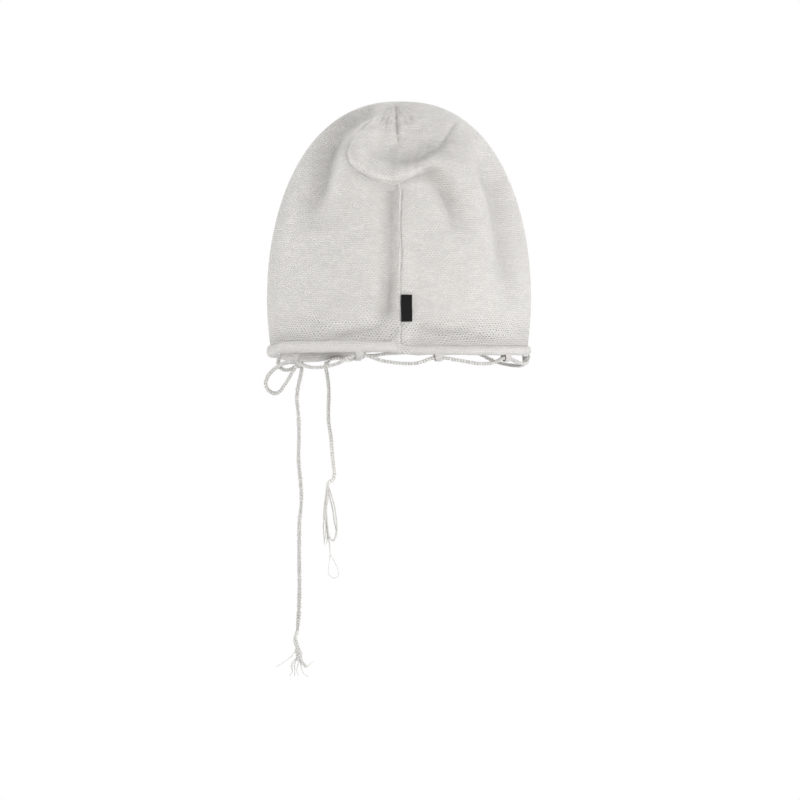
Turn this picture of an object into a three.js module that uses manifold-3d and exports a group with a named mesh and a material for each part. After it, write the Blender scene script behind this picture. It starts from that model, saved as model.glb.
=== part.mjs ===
// A slouchy mesh-knit beanie with a rolled hem and a drawcord tied in a bow, as it hangs on a head.
// Millimetres, +Z up. The origin is the centre of the head opening in the plane of the hem's underside.
// -Y is the back of the hat, with the seam and its tab; +X is to the right when the back is looked at.
// A "turn" is an angle round the hat in degrees: 0 is +X, 90 the front, 180 -X and 270 the back seam.

import * as THREE from 'three';
import { mergeVertices } from 'three/addons/utils/BufferGeometryUtils.js';
import Module from 'manifold-3d';

const wasm = await Module();
wasm.setup();

// Driving dimensions
const gap = 0.3;                 // clearance between neighbouring pieces
const knitThickness = 2.4;       // wall of the knit
const crownHeight = 205.8;       // top of the wall's middle surface
const springHeight = 44;         // where the sides start to close in
const halfWidth = 106.4;         // middle surface at the spring height, side to side
const halfDepth = 78;            // the same, back to front
const crownCurve = { rise: 2.09, close: 2.32 };   // exponents of the crown's outline
const planRoundness = 2.15;      // exponent of the plan
const crownLean = { x: 1, y: -8 };   // how far the tip has slumped from the centre
const hem = { halfWidth: 103.4, halfDepth: 71.8, thick: 8.4, high: 10.4, sides: 8 };
const hemMean = 6;               // height of the hem's middle that the rows of faces start from
const lowestRow = hemMean + hem.high / 2 + gap;
const hemDraw = { width: 2.8, depth: 5.4 };     // how far the hem draws the wall in on each side
const hemFollow = 50;            // height over which the rows stop following the hem's line
const cordDiameter = 3.9;
const columns = 60;              // faces round the hat
const crowding = 0.4;            // how much closer together they stand at the back
const bands = [                  // rows of faces up the hat
  { top: springHeight, rows: 3 },
  { top: 130, rows: 5 },
  { top: 165, rows: 8 },
  { top: crownHeight, rows: 7 },
];

// Middle height of the rolled hem. It steps at the back seam and droops at the front left.
const hemLine = [
  { turn: 0, z: 4.8 }, { turn: 35, z: 8.5 }, { turn: 65, z: 11 }, { turn: 92, z: 10.6 },
  { turn: 108, z: 7.2 }, { turn: 118, z: 2.8 }, { turn: 128, z: 1.0 }, { turn: 140, z: 0.4 },
  { turn: 150, z: 1.2 }, { turn: 163, z: 2.8 }, { turn: 180, z: 3.0 }, { turn: 195, z: 3.6 },
  { turn: 208, z: 6.3 }, { turn: 235, z: 7.0 }, { turn: 266, z: 7.0 }, { turn: 276, z: 5.0 },
  { turn: 330, z: 4.8 },
];

// Lower lip of the slumped crown, across the back, and how far the knit stands out above it
const lip = [
  { x: -88, z: 143, out: 0 }, { x: -56, z: 160, out: 0 }, { x: -43, z: 160, out: 3.5 },
  { x: -36, z: 153, out: 4.5 }, { x: -21, z: 145, out: 5 }, { x: -6.5, z: 141, out: 6.5 },
  { x: 15, z: 146.5, out: 7.5 }, { x: 29, z: 152, out: 6 }, { x: 39, z: 153, out: 3 },
  { x: 54, z: 152, out: 0 }, { x: 88, z: 143, out: 0 },
];
const lipFace = 4;               // height over which the lip comes out
const lipFade = 26;              // and over which it dies away above
const lipRows = { height: 143, reach: 26 };     // rows of faces that follow the lip instead of lying level

// Folds of the back, each along a line of points [x, z] as seen from behind: half width, depth
// (negative inwards), and the shares of its length over which it starts and ends.
const folds = [
  { name: 'left valley', width: 8.5, depth: -9, starts: 0.15, ends: 0.45,
    line: [[-16, 203], [-50, 185], [-59, 171], [-65, 146], [-67.5, 127], [-68.5, 104]] },
  { name: 'ridge beside it', width: 9, depth: 3, starts: 0.3, ends: 0.5,
    line: [[-47, 168], [-51, 140], [-52, 112]] },
  { name: 'left of the crown', width: 10, depth: 3.5, starts: 0.3, ends: 0.3,
    line: [[-19, 193], [-31, 168], [-20, 153]] },
  { name: 'centre dart', width: 3, depth: -3.5, starts: 0.1, ends: 0.3, line: [[-3.5, 203], [-3, 172]] },
  { name: 'hollow under the dart', width: 7, depth: -3, starts: 0.4, ends: 0.4,
    line: [[-4, 172], [-7, 150]] },
  { name: 'trough of the crown', width: 6, depth: -8, starts: 0.25, ends: 0.45,
    line: [[-3, 158], [18, 166.5], [35, 174], [46, 190]] },
  { name: 'roll under it', width: 6, depth: 4, starts: 0.1, ends: 0.4,
    line: [[-7, 147], [14, 155], [36, 163], [50, 168]] },
  { name: 'right pocket', width: 7, depth: -5, starts: 0.15, ends: 0.5,
    line: [[22, 147], [34, 143], [41, 128], [47, 110]] },
  { name: 'right valley', width: 7, depth: -3.5, starts: 0.3, ends: 0.4,
    line: [[66, 156], [76, 133], [83, 105], [88, 72], [88, 38]] },
  { name: 'left of the seam', width: 5.5, depth: -3.5, starts: 0.1, ends: 0.2,
    line: [[-5, 139], [-7.5, 110], [-7.5, 85], [-10, 58], [-11.5, 34]] },
  { name: 'right of the seam', width: 9, depth: 2.5, starts: 0.2, ends: 0.4,
    line: [[9, 138], [11, 100], [10, 60]] },
  { name: 'left tuck', width: 5, depth: -3.5, starts: 0.4, ends: 0.15,
    line: [[-50, 21], [-25, 21], [-6, 22]] },
  { name: 'right tuck', width: 5, depth: -3.5, starts: 0.1, ends: 0.5,
    line: [[7, 21], [32, 20], [84, 13]] },
];

// The folds die away towards the sides, and leave the outline of the back as it is
const foldFade = { back: 0.3, edge: 0.1, face: 0.5 };

// Drawcord along the rim: the carriers that hold it, and how it sags on its way to each. A drop is
// measured down from the hem's underside, and a lean outwards from the hem's middle line.
const carrier = { wide: 7.5, wall: 1.1, reach: 5.7, hold: 2.4 };     // hold: turn kept straight each side
const heldDrop = cordDiameter / 2 + gap + 0.15;
const knotTurn = 220.5;
const knotDrop = 8.6;
const knotLean = 1;
const knotRadii = [4.4, 3.8, 3.3];
const knotLobes = [              // two turns of cord that cross: share of the radii, and tilt
  { scale: [1, 1, 0.8], tilt: 0.5 }, { scale: [0.9, 1.08, 0.85], tilt: -0.7 },
];
// The band that carries the knot
const keeper = { turn: 216.2, wide: 7.5, thick: 1.5, lean: -2.6, drop: 8.2, rise: 3 };
const spans = [                  // to: turn of the next carrier; low: where it hangs lowest
  { to: 254, sag: 6.3, low: 0.5, lean: 2 },
  { to: 286.5, sag: 5.6, low: 0.5, lean: 0.8 },
  { to: 326, sag: 4.6, low: 0.6, lean: 1 },
  { to: 361.5, sag: 4.2, low: 0.5, lean: 1.5 },
  { to: 417.5, sag: 9, low: 0.48, lean: 1.4 },
  { to: 442.5, sag: 1.2, low: 0.5, lean: 0.3 },
  { to: 467.5, sag: 1, low: 0.5, lean: 0.3 },
];
const innerWay = [               // past the last carrier it runs inside the hem, and out as the short tie
  { turn: 472, drop: 2.9, lean: -3.4 }, { turn: 476, drop: 0.8, lean: -6.3 },
  { turn: 480, drop: -1.4, lean: -7 }, { turn: 484, drop: -0.6, lean: -7.1 },
  { turn: 486.5, drop: 3.2, lean: -7 },
];

// Free cords, as points [x, y, z] from where each leaves its knot or the hem
const bowLoopRoute = [
  [-80, -49, -7.4], [-83, -50, -9.4], [-86.2, -50.4, -14], [-90.3, -50, -21.2], [-93.6, -49.2, -26],
  [-96.4, -48.2, -29.9], [-100, -47.2, -31.4], [-103.4, -46.4, -30.4], [-106.4, -45.6, -27.8],
  [-107.9, -45, -23.2], [-106.2, -44.6, -17.6], [-102.9, -44.4, -13.4], [-99.2, -44.6, -10.4],
  [-94.4, -45.4, -7.4], [-88, -47, -6], [-81, -48.4, -6.4],
];
const smallLoopRoute = [
  [-80, -48.6, -7.4], [-84.4, -45.4, -9.8], [-88, -42.6, -11.9], [-92, -40, -12.4], [-95.8, -37.4, -10.8],
  [-97.8, -35.4, -7], [-97.2, -33.6, -2.6], [-95.6, -32, 2.6],
];
const tieLongRoute = [
  [-79.4, -48.6, -7.4], [-78.6, -50.2, -11], [-79.6, -50.8, -17], [-81.4, -51, -25.2], [-82.6, -51, -35],
  [-81.8, -50.8, -44], [-81, -50.6, -53.7], [-80.9, -50.5, -69], [-81.2, -50.5, -85.5],
  [-79.7, -50.6, -101.7], [-78.9, -50.7, -118], [-80.4, -50.8, -134.2], [-80.7, -50.8, -150.5],
  [-80.7, -50.7, -166.8], [-80.5, -50.6, -183], [-80.7, -50.5, -199.3], [-81.3, -50.5, -213],
  [-82.6, -50.5, -226],
];
const tieShortRoute = [
  [-59.6, 52.8, -6.4], [-60, 53.2, -9.4], [-59.2, 54, -14], [-58.2, 54.4, -21],
  [-57.5, 54.5, -29], [-57.6, 54.5, -37], [-57.9, 54.4, -46], [-57.6, 54.3, -55], [-56.3, 54.2, -63],
  [-55.3, 54.1, -71], [-54.7, 54.1, -80], [-53.8, 54, -89.5], [-53, 54, -96.8],
  [-53.8, 54, -101.6], [-56.6, 54, -103.4], [-58.4, 54, -105.5],
];

// Frayed end: locks as points [x, y, z, radius]
const tassel = {
  head: { centre: [-82.8, -50.5, -225.4], radii: [3.1, 2.8, 3.6] },
  locks: [
    [[-82.8, -50.5, -226, 2.3], [-83.5, -50.5, -229.5, 2], [-82.2, -50.5, -235, 2.4],
      [-81.7, -50.5, -241, 3.4], [-81.4, -50.5, -246, 2.8], [-81.6, -50.5, -249, 1]],
    [[-82.6, -51, -243, 1.6], [-86.2, -51.8, -252, 1.2], [-88, -51.6, -259.5, 0.6]],
    [[-82, -50, -243, 1.6], [-83.8, -49.6, -253.5, 1.3], [-84.7, -49.8, -260.3, 0.6]],
    [[-81, -51, -243, 1.6], [-80.9, -51.6, -253, 1.1], [-81.6, -51.2, -259.5, 0.6]],
    [[-80.4, -50, -243, 1.6], [-75.7, -49.2, -253.5, 1.2], [-72.4, -48.8, -261, 0.6]],
    [[-80.2, -50.8, -243, 1.6], [-76.2, -51, -251.4, 1.7], [-72, -51.2, -250, 0.9],
      [-68.5, -51, -248, 0.5]],
  ],
};

// Pulled yarn below the short end: a bundle, as points [x, y, z, radius], and two loops
const yarn = {
  bundle: [[-57.9, 54, -104.6, 1.8], [-58.4, 54, -112, 1.7], [-59.6, 54.1, -126, 1.5],
    [-60.3, 54.1, -139, 1.2], [-60.6, 54.1, -151, 1], [-59.9, 54.1, -157.5, 0.5]],
  loops: [
    [[-58.3, 54, -109], [-55.2, 53.2, -117], [-52.6, 52.8, -126], [-50.8, 52.8, -139], [-51.2, 53, -147],
      [-53.8, 53.3, -151.5], [-57, 53.4, -148], [-58.2, 53.6, -139], [-59.2, 54, -130]],
    [[-58.6, 54.2, -112], [-56.4, 55.2, -122], [-54, 55.6, -132], [-53.6, 55.4, -141], [-56, 55, -144],
      [-58, 54.6, -138], [-59.8, 54.2, -131]],
  ],
  diameter: 1.5,
  steps: 10,
};

const tab = { left: 1.3, right: 10.6, low: 27.2, high: 48.9, thick: 1.1, lift: 0.6, rows: 4, across: 3 };

// Materials
const finish = (color, roughness) => new THREE.MeshStandardMaterial({ color, roughness, metalness: 0 });
const knitMaterial = finish(0xdedbd5, 0.95);
const cordMaterial = finish(0xdcd9d3, 0.9);
const tabMaterial = finish(0x161618, 0.75);

// Small tools
const radians = THREE.MathUtils.degToRad;
const lerp = THREE.MathUtils.lerp;
const smooth = (value) => THREE.MathUtils.smoothstep(value, 0, 1);
const signedPower = (value, power) => Math.sign(value) * Math.abs(value) ** power;

// Value of a named column between the rows of a table, eased from row to row
function tableAt(rows, key, at, column) {
  const next = rows.findIndex((row) => row[key] > at);
  if (next === 0) return rows[0][column];
  if (next < 0) return rows.at(-1)[column];
  const [a, b] = [rows[next - 1], rows[next]];
  return lerp(a[column], b[column], smooth((at - a[key]) / (b[key] - a[key])));
}

function hemMiddle(turn) {
  const wrapped = ((turn % 360) + 360) % 360;
  return tableAt([...hemLine, { turn: 360, z: hemLine[0].z }], 'turn', wrapped, 'z');
}

const hemUnderside = (turn) => hemMiddle(turn) - hem.high / 2;

// A point on a plan of the given half sizes
function planPoint(turn, wide, deep) {
  const angle = radians(turn);
  const power = 2 / planRoundness;
  return [wide * signedPower(Math.cos(angle), power), deep * signedPower(Math.sin(angle), power)];
}

// A point beside the hem's middle line
function rimPoint(turn, drop, lean) {
  const [x, y] = planPoint(turn, hem.halfWidth + lean, hem.halfDepth + lean);
  return new THREE.Vector3(x, y, hemUnderside(turn) - drop);
}

// Angle of the hem's middle line in the plan, beside a turn
function rimHeading(turn, lean) {
  const along = rimPoint(turn + 0.5, 0, lean).sub(rimPoint(turn, 0, lean));
  return Math.atan2(along.y, along.x);
}

// How open the crown is at a height, as a share of its widest
function openness(height) {
  const rise = (height - springHeight) / (crownHeight - springHeight);
  return rise <= 0 ? 1 : Math.max(0, 1 - rise ** crownCurve.rise) ** (1 / crownCurve.close);
}

// Middle surface of the wall before its folds
function plainWall(turn, height) {
  const open = openness(height);
  const below = Math.max(0, (springHeight - height) / (springHeight - lowestRow)) ** 1.6;
  const lean = Math.max(0, (height - springHeight) / (crownHeight - springHeight)) ** 2;
  const wide = (halfWidth - hemDraw.width * below) * open;
  const deep = (halfDepth - hemDraw.depth * below) * open;
  const [x, y] = planPoint(turn, wide, deep);
  const nearLip = Math.exp(-(((height - lipRows.height) / lipRows.reach) ** 2));
  const atBack = Math.max(0, -Math.sin(radians(turn))) ** 0.5;
  const followLip = (tableAt(lip, 'x', x, 'z') - lipRows.height) * nearLip * atBack;
  const followHem = (hemMiddle(turn) - hemMean) * smooth(1 - (height - lowestRow) / hemFollow);
  return new THREE.Vector3(x + crownLean.x * lean, y + crownLean.y * lean, height + followLip + followHem);
}

// Distance from (x, z) to a fold's line, and the share of the line passed there
function alongLine(line, x, z) {
  const points = line.map(([px, pz]) => new THREE.Vector2(px, pz));
  const lengths = points.slice(1).map((point, i) => point.distanceTo(points[i]));
  const total = lengths.reduce((sum, length) => sum + length, 0);
  const here = new THREE.Vector2(x, z);
  const best = { distance: Infinity, share: 0 };
  let passed = 0;
  lengths.forEach((length, i) => {
    const step = points[i + 1].clone().sub(points[i]);
    const t = THREE.MathUtils.clamp(here.clone().sub(points[i]).dot(step) / length ** 2, 0, 1);
    const distance = here.distanceTo(points[i].clone().addScaledVector(step, t));
    if (distance < best.distance) Object.assign(best, { distance, share: (passed + t * length) / total });
    passed += length;
  });
  return best;
}

// How far the folds of the back move the wall outwards at (x, z)
function foldDepth(x, z) {
  let depth = 0;
  for (const fold of folds) {
    const { distance, share } = alongLine(fold.line, x, z);
    const ends = smooth(share / fold.starts) * smooth((1 - share) / fold.ends);
    depth += fold.depth * ends * Math.exp(-((distance / fold.width) ** 2));
  }
  const above = z - tableAt(lip, 'x', x, 'z');
  const out = tableAt(lip, 'x', x, 'out');
  return depth + out * smooth(above / lipFace + 0.5) * Math.exp(-((Math.max(0, above) / lipFade) ** 2));
}

function foldedWall(turn, height) {
  const point = plainWall(turn, height);
  const back = smooth(-Math.sin(radians(turn)) / foldFade.back);
  if (back === 0) return point;
  const across = plainWall(turn + 0.5, height).sub(plainWall(turn - 0.5, height));
  const up = plainWall(turn, Math.min(height + 0.5, crownHeight)).sub(plainWall(turn, height - 0.5));
  const outwards = across.cross(up).normalize();
  const facing = smooth((-outwards.y - foldFade.edge) / foldFade.face);
  outwards.multiply(new THREE.Vector3(facing, 1, facing));
  return point.addScaledVector(outwards, back * foldDepth(point.x, point.z));
}

// A closed body between two grids of points that face each other, row by row
function closedSheet(front, back, wraps) {
  const [rows, across] = [front.length, front[0].length];
  const points = [...front.flat(), ...back.flat()];
  const at = (side, row, column) => side * rows * across + row * across + (column % across);
  const triangles = [];
  const quad = (a, b, c, d) => triangles.push([a, b, c], [a, c, d]);
  const last = wraps ? across : across - 1;
  for (let row = 0; row < rows - 1; row += 1) {
    for (let column = 0; column < last; column += 1) {
      const [next, above] = [column + 1, row + 1];
      quad(at(0, row, column), at(0, row, next), at(0, above, next), at(0, above, column));
      quad(at(1, above, column), at(1, above, next), at(1, row, next), at(1, row, column));
    }
  }
  const top = rows - 1;
  for (let column = 0; column < last; column += 1) {
    const next = column + 1;
    quad(at(1, 0, column), at(1, 0, next), at(0, 0, next), at(0, 0, column));
    quad(at(0, top, column), at(0, top, next), at(1, top, next), at(1, top, column));
  }
  const end = across - 1;
  for (let row = 0; row < top && !wraps; row += 1) {
    quad(at(0, row, 0), at(0, row + 1, 0), at(1, row + 1, 0), at(1, row, 0));
    quad(at(1, row, end), at(1, row + 1, end), at(0, row + 1, end), at(0, row, end));
  }
  return bodyFrom(points, triangles);
}

// Geometry of points and triangles, with shared corners joined and empty triangles left out
function bodyFrom(points, triangles) {
  const raw = new THREE.BufferGeometry().setFromPoints(points);
  raw.setIndex(triangles.flat());
  const merged = mergeVertices(raw, 1e-3);
  const index = [...merged.index.array];
  const kept = [];
  for (let i = 0; i < index.length; i += 3) {
    const [a, b, c] = index.slice(i, i + 3);
    if (a !== b && b !== c && c !== a) kept.push(a, b, c);
  }
  merged.setIndex(kept);
  return merged;
}

// Joining and cutting
function toSolid(geometry) {
  const bare = geometry.clone();
  bare.deleteAttribute('normal');
  bare.deleteAttribute('uv');
  const merged = mergeVertices(bare, 1e-4);
  const triVerts = Uint32Array.from(merged.index.array);
  const vertProperties = Float32Array.from(merged.attributes.position.array);
  return new wasm.Manifold(new wasm.Mesh({ numProp: 3, vertProperties, triVerts }));
}

function toGeometry(solid) {
  const mesh = solid.getMesh();
  const geometry = new THREE.BufferGeometry();
  geometry.setAttribute('position', new THREE.BufferAttribute(Float32Array.from(mesh.vertProperties), 3));
  geometry.setIndex([...mesh.triVerts]);
  return geometry;
}

const joined = (geometries) => geometries.map(toSolid).reduce((sum, next) => sum.add(next));

// What is left of a solid outside the rooms of its neighbours, without the slivers that a cut leaves
function outside(solid, rooms) {
  const pieces = rooms.reduce((left, room) => left.subtract(room), solid).decompose();
  return toGeometry(pieces.sort((a, b) => b.volume() - a.volume())[0]);
}

// Closed tube through [x, y, z] points
function tubeThrough(route, diameter, steps, sides) {
  const points = route.map((point) => new THREE.Vector3(...point));
  const path = new THREE.CatmullRomCurve3(points, false, 'centripetal');
  const corners = Array.from({ length: sides }, (_, i) => {
    const angle = (2 * Math.PI * (i + 0.5)) / sides;
    return new THREE.Vector2(Math.cos(angle), Math.sin(angle)).multiplyScalar(diameter / 2);
  });
  const options = { steps, extrudePath: path, bevelEnabled: false };
  return new THREE.ExtrudeGeometry(new THREE.Shape(corners), options);
}

// Tapered lock of yarn through [x, y, z, radius] points
function lock(points, sides) {
  const spine = points.map(([x, y, z]) => new THREE.Vector3(x, y, z));
  const rings = points.map(([, , , radius], i) => {
    const [before, after] = [spine[Math.max(i - 1, 0)], spine[Math.min(i + 1, spine.length - 1)]];
    const ahead = after.clone().sub(before).normalize();
    const side = new THREE.Vector3(0, 1, 0).cross(ahead).normalize();
    const other = ahead.clone().cross(side);
    return Array.from({ length: sides }, (_, k) => {
      const angle = (2 * Math.PI * k) / sides;
      return spine[i].clone().addScaledVector(side, radius * Math.cos(angle))
        .addScaledVector(other, radius * Math.sin(angle));
    });
  });
  const skin = [Array(sides).fill(spine[0]), ...rings, Array(sides).fill(spine.at(-1))];
  const triangles = [];
  for (let row = 0; row < skin.length - 1; row += 1) {
    for (let k = 0; k < sides; k += 1) {
      const [a, b] = [row * sides + k, row * sides + ((k + 1) % sides)];
      triangles.push([a, b, b + sides], [a, b + sides, a + sides]);
    }
  }
  return bodyFrom(skin.flat(), triangles);
}

// Turns of the columns of faces, closer together at the back
const columnTurns = Array.from({ length: columns }, (_, i) => {
  const across = (2 * i) / columns - 1;
  return 270 + 180 * (across * (1 - crowding) + crowding * across ** 3);
});

// The knitted shell
function knitBody() {
  const heights = [lowestRow];
  for (const { top, rows } of bands) {
    const from = heights.at(-1);
    for (let row = 1; row <= rows; row += 1) {
      const share = row / rows;
      heights.push(top === crownHeight ? crownRow(from, share) : lerp(from, top, share));
    }
  }
  const middle = heights.map((height) => columnTurns.map((turn) => foldedWall(turn, height)));
  const tip = middle.at(-1)[0];
  const offset = (side) => middle.map((row, i) => row.map((point, j) => {
    if (row === middle.at(-1)) return tip.clone().setZ(tip.z + (side * knitThickness) / 2);
    const along = row[(j + 1) % columns].clone().sub(row[(j + columns - 1) % columns]);
    const up = middle[i + 1][j].clone().sub(middle[Math.max(i - 1, 0)][j]);
    const outwards = along.cross(up).normalize();
    if (i === 0) outwards.setZ(0).normalize();
    return point.clone().addScaledVector(outwards, (side * knitThickness) / 2);
  }));
  return closedSheet(offset(1), offset(-1), true);
}

// Heights near the tip, spaced evenly round the crown's curve
function crownRow(from, share) {
  const rise = crownHeight - springHeight;
  const start = Math.asin(((from - springHeight) / rise) ** (crownCurve.rise / 2));
  return springHeight + rise * Math.sin(lerp(start, Math.PI / 2, share)) ** (2 / crownCurve.rise);
}

// The rolled hem, or with grow a copy that is larger all round
function rolledHem(grow = 0) {
  const flat = Math.cos(Math.PI / hem.sides);
  const rings = columnTurns.map((turn) => Array.from({ length: hem.sides }, (_, k) => {
    const angle = (2 * Math.PI * (k + 0.5)) / hem.sides + Math.PI / 2;
    const out = ((hem.thick / 2 + grow) * Math.cos(angle)) / flat;
    const [x, y] = planPoint(turn, hem.halfWidth + out, hem.halfDepth + out);
    return new THREE.Vector3(x, y, hemMiddle(turn) + ((hem.high / 2 + grow) * Math.sin(angle)) / flat);
  }));
  const triangles = [];
  for (let i = 0; i < columns; i += 1) {
    for (let k = 0; k < hem.sides; k += 1) {
      const [here, next] = [i * hem.sides, ((i + 1) % columns) * hem.sides];
      const up = (k + 1) % hem.sides;
      triangles.push([here + k, next + k, next + up], [here + k, next + up, here + up]);
    }
  }
  return bodyFrom(rings.flat(), triangles);
}

// The tab follows the knit beside the seam
function sideTab() {
  const { rows, across } = tab;
  const grid = (lift) => Array.from({ length: rows }, (_, i) => Array.from({ length: across }, (__, j) => {
    const height = lerp(tab.low, tab.high, i / (rows - 1));
    const x = lerp(tab.left, tab.right, j / (across - 1));
    const turn = 270 + THREE.MathUtils.radToDeg(Math.asin((x / halfWidth) ** (planRoundness / 2)));
    const point = foldedWall(turn, height);
    return point.add(new THREE.Vector3(0, -(knitThickness / 2 + lift), 0));
  }));
  return closedSheet(grid(tab.lift + tab.thick), grid(tab.lift), false);
}

// Points of the drawcord round the rim
function rimRoute() {
  const route = [rimPoint(knotTurn, knotDrop, knotLean)];
  let from = { turn: knotTurn, drop: knotDrop };
  for (const { to, sag, low, lean } of spans) {
    for (const share of [0.25, 0.5, 0.75]) {
      const skewed = share ** (Math.log(0.5) / Math.log(low));
      const hang = 4 * skewed * (1 - skewed);
      const turn = lerp(from.turn, to - carrier.hold, share);
      route.push(rimPoint(turn, lerp(from.drop, heldDrop, share) + sag * hang, lean * hang));
    }
    route.push(rimPoint(to - carrier.hold, heldDrop, 0), rimPoint(to + carrier.hold, heldDrop, 0));
    from = { turn: to + carrier.hold, drop: heldDrop };
  }
  return [...route, ...innerWay.map(({ turn, drop, lean }) => rimPoint(turn, drop, lean))];
}

const rimTube = (diameter) => tubeThrough(rimRoute(), diameter, 66, 8);

// One carrier: a block round the cord, to be cut by the hem above it and by the cord inside it
function carrierBlock(turn) {
  const radius = cordDiameter / 2 + gap + carrier.wall;
  const section = new THREE.Shape();
  section.moveTo(radius, carrier.reach);
  section.lineTo(-radius, carrier.reach);
  section.lineTo(-radius, 0);
  section.absarc(0, 0, radius, Math.PI, 2 * Math.PI, false);
  const options = { depth: carrier.wide, bevelEnabled: false, curveSegments: 2 };
  const block = new THREE.ExtrudeGeometry(section, options).translate(0, 0, -carrier.wide / 2);
  block.rotateX(Math.PI / 2).rotateZ(rimHeading(turn, 0) - Math.PI / 2);
  return toSolid(block.translate(...rimPoint(turn, heldDrop, 0)));
}

// The band that hangs from the hem and carries the knot
function keeperBand() {
  const band = new THREE.BoxGeometry(keeper.wide, keeper.thick, keeper.rise + keeper.drop);
  band.rotateZ(rimHeading(keeper.turn, keeper.lean));
  return toSolid(band.translate(...rimPoint(keeper.turn, (keeper.drop - keeper.rise) / 2, keeper.lean)));
}

function knotSolid(grow = 0) {
  return joined(knotLobes.map(({ scale, tilt }) => {
    const ball = new THREE.SphereGeometry(1, 10, 6);
    ball.scale(...knotRadii.map((radius, i) => radius * scale[i] + grow));
    return ball.rotateY(tilt).translate(...rimPoint(knotTurn, knotDrop, knotLean));
  }));
}

function tasselHead(grow = 0) {
  const head = new THREE.SphereGeometry(1, 8, 6);
  return head.scale(...tassel.head.radii.map((radius) => radius + grow)).translate(...tassel.head.centre);
}

function yarnSolid(grow = 0) {
  const [[x, y, z, radius], ...rest] = yarn.bundle;
  const bundle = [[x, y, z + grow, radius], ...rest].map(([px, py, pz, r]) => [px, py, pz, r + grow]);
  const tubes = yarn.loops.map((route) => tubeThrough(route, yarn.diameter + 2 * grow, yarn.steps, 6));
  return joined([lock(bundle, 6), ...tubes]);
}

const hat = new THREE.Group();

function addPiece(name, geometry, material) {
  const bare = geometry.clone();
  bare.deleteAttribute('normal');
  bare.deleteAttribute('uv');
  const piece = new THREE.Mesh(mergeVertices(bare, 1e-4), material);
  piece.geometry.computeVertexNormals();
  piece.name = name;
  hat.add(piece);
}

// Cords, plain and grown by the gap that their neighbours keep
const grown = cordDiameter + 2 * gap;
const rimSolid = (diameter) => toSolid(rimTube(diameter));
const bowSolid = (diameter) => toSolid(tubeThrough(bowLoopRoute, diameter, 18, 8));
const smallLoopSolid = (diameter) => toSolid(tubeThrough(smallLoopRoute, diameter, 8, 8));
const tieLongSolid = toSolid(tubeThrough(tieLongRoute, cordDiameter, 24, 8));
const tieShortSolid = toSolid(tubeThrough(tieShortRoute, cordDiameter, 16, 8));
const room = {
  hem: toSolid(rolledHem(gap)),
  knot: knotSolid(gap),
  rim: rimSolid(grown),
  bow: bowSolid(grown),
  smallLoop: smallLoopSolid(grown),
  tassel: toSolid(tasselHead(gap)),
  yarn: yarnSolid(gap),
};

addPiece('knit_body', knitBody(), knitMaterial);
addPiece('rolled_hem', rolledHem(), knitMaterial);
addPiece('side_tab', sideTab(), tabMaterial);
addPiece('bow_knot', toGeometry(knotSolid()), cordMaterial);
addPiece('rim_cord', outside(rimSolid(cordDiameter), [room.knot]), cordMaterial);
spans.forEach(({ to }, i) => {
  addPiece(`cord_carrier_${i + 1}`, outside(carrierBlock(to), [room.hem, room.rim]), knitMaterial);
});
addPiece('bow_loop', outside(bowSolid(cordDiameter), [room.knot, room.rim]), cordMaterial);
const smallLoopRooms = [room.knot, room.rim, room.bow, room.hem];
addPiece('bow_loop_small', outside(smallLoopSolid(cordDiameter), smallLoopRooms), cordMaterial);
const keeperRooms = [room.hem, room.knot, room.rim, room.bow, room.smallLoop];
addPiece('knot_keeper', outside(keeperBand(), keeperRooms), knitMaterial);
const tieLongRooms = [room.knot, room.rim, room.bow, room.smallLoop, room.tassel];
addPiece('tie_long', outside(tieLongSolid, tieLongRooms), cordMaterial);
const locks = tassel.locks.map((points) => lock(points, 6));
addPiece('frayed_end', toGeometry(joined([tasselHead(), ...locks])), cordMaterial);
addPiece('tie_short', outside(tieShortSolid, [room.hem, room.rim, room.yarn]), cordMaterial);
addPiece('yarn_loops', toGeometry(yarnSolid()), cordMaterial);

export default hat;
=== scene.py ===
import math

import bpy
import numpy as np
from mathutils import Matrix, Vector


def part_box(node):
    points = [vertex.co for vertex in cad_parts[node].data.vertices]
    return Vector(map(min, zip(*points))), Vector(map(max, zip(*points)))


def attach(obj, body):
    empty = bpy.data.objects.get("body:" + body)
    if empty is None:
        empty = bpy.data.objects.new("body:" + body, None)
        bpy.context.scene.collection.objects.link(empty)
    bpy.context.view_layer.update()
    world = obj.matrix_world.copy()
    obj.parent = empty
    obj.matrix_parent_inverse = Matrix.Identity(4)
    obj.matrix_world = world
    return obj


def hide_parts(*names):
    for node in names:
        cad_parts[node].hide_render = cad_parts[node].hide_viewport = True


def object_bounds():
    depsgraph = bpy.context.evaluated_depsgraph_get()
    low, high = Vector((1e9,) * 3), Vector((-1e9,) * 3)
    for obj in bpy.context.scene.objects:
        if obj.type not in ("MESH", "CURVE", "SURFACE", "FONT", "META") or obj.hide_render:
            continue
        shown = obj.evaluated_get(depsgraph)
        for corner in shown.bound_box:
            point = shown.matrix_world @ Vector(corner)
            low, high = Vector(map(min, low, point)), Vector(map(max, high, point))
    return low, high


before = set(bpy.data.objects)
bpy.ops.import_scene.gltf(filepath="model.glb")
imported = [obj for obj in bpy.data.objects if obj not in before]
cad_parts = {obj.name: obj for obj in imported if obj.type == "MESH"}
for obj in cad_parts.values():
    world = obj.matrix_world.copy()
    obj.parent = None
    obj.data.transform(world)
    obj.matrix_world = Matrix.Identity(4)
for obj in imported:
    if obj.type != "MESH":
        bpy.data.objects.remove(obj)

# A slouchy mesh-knit beanie, seen from behind as it hangs on a head, with its drawcord tied in a bow.
# Tables are in millimetres and turns in degrees: 0 is +X, 90 the front, 270 the back seam.

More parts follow.
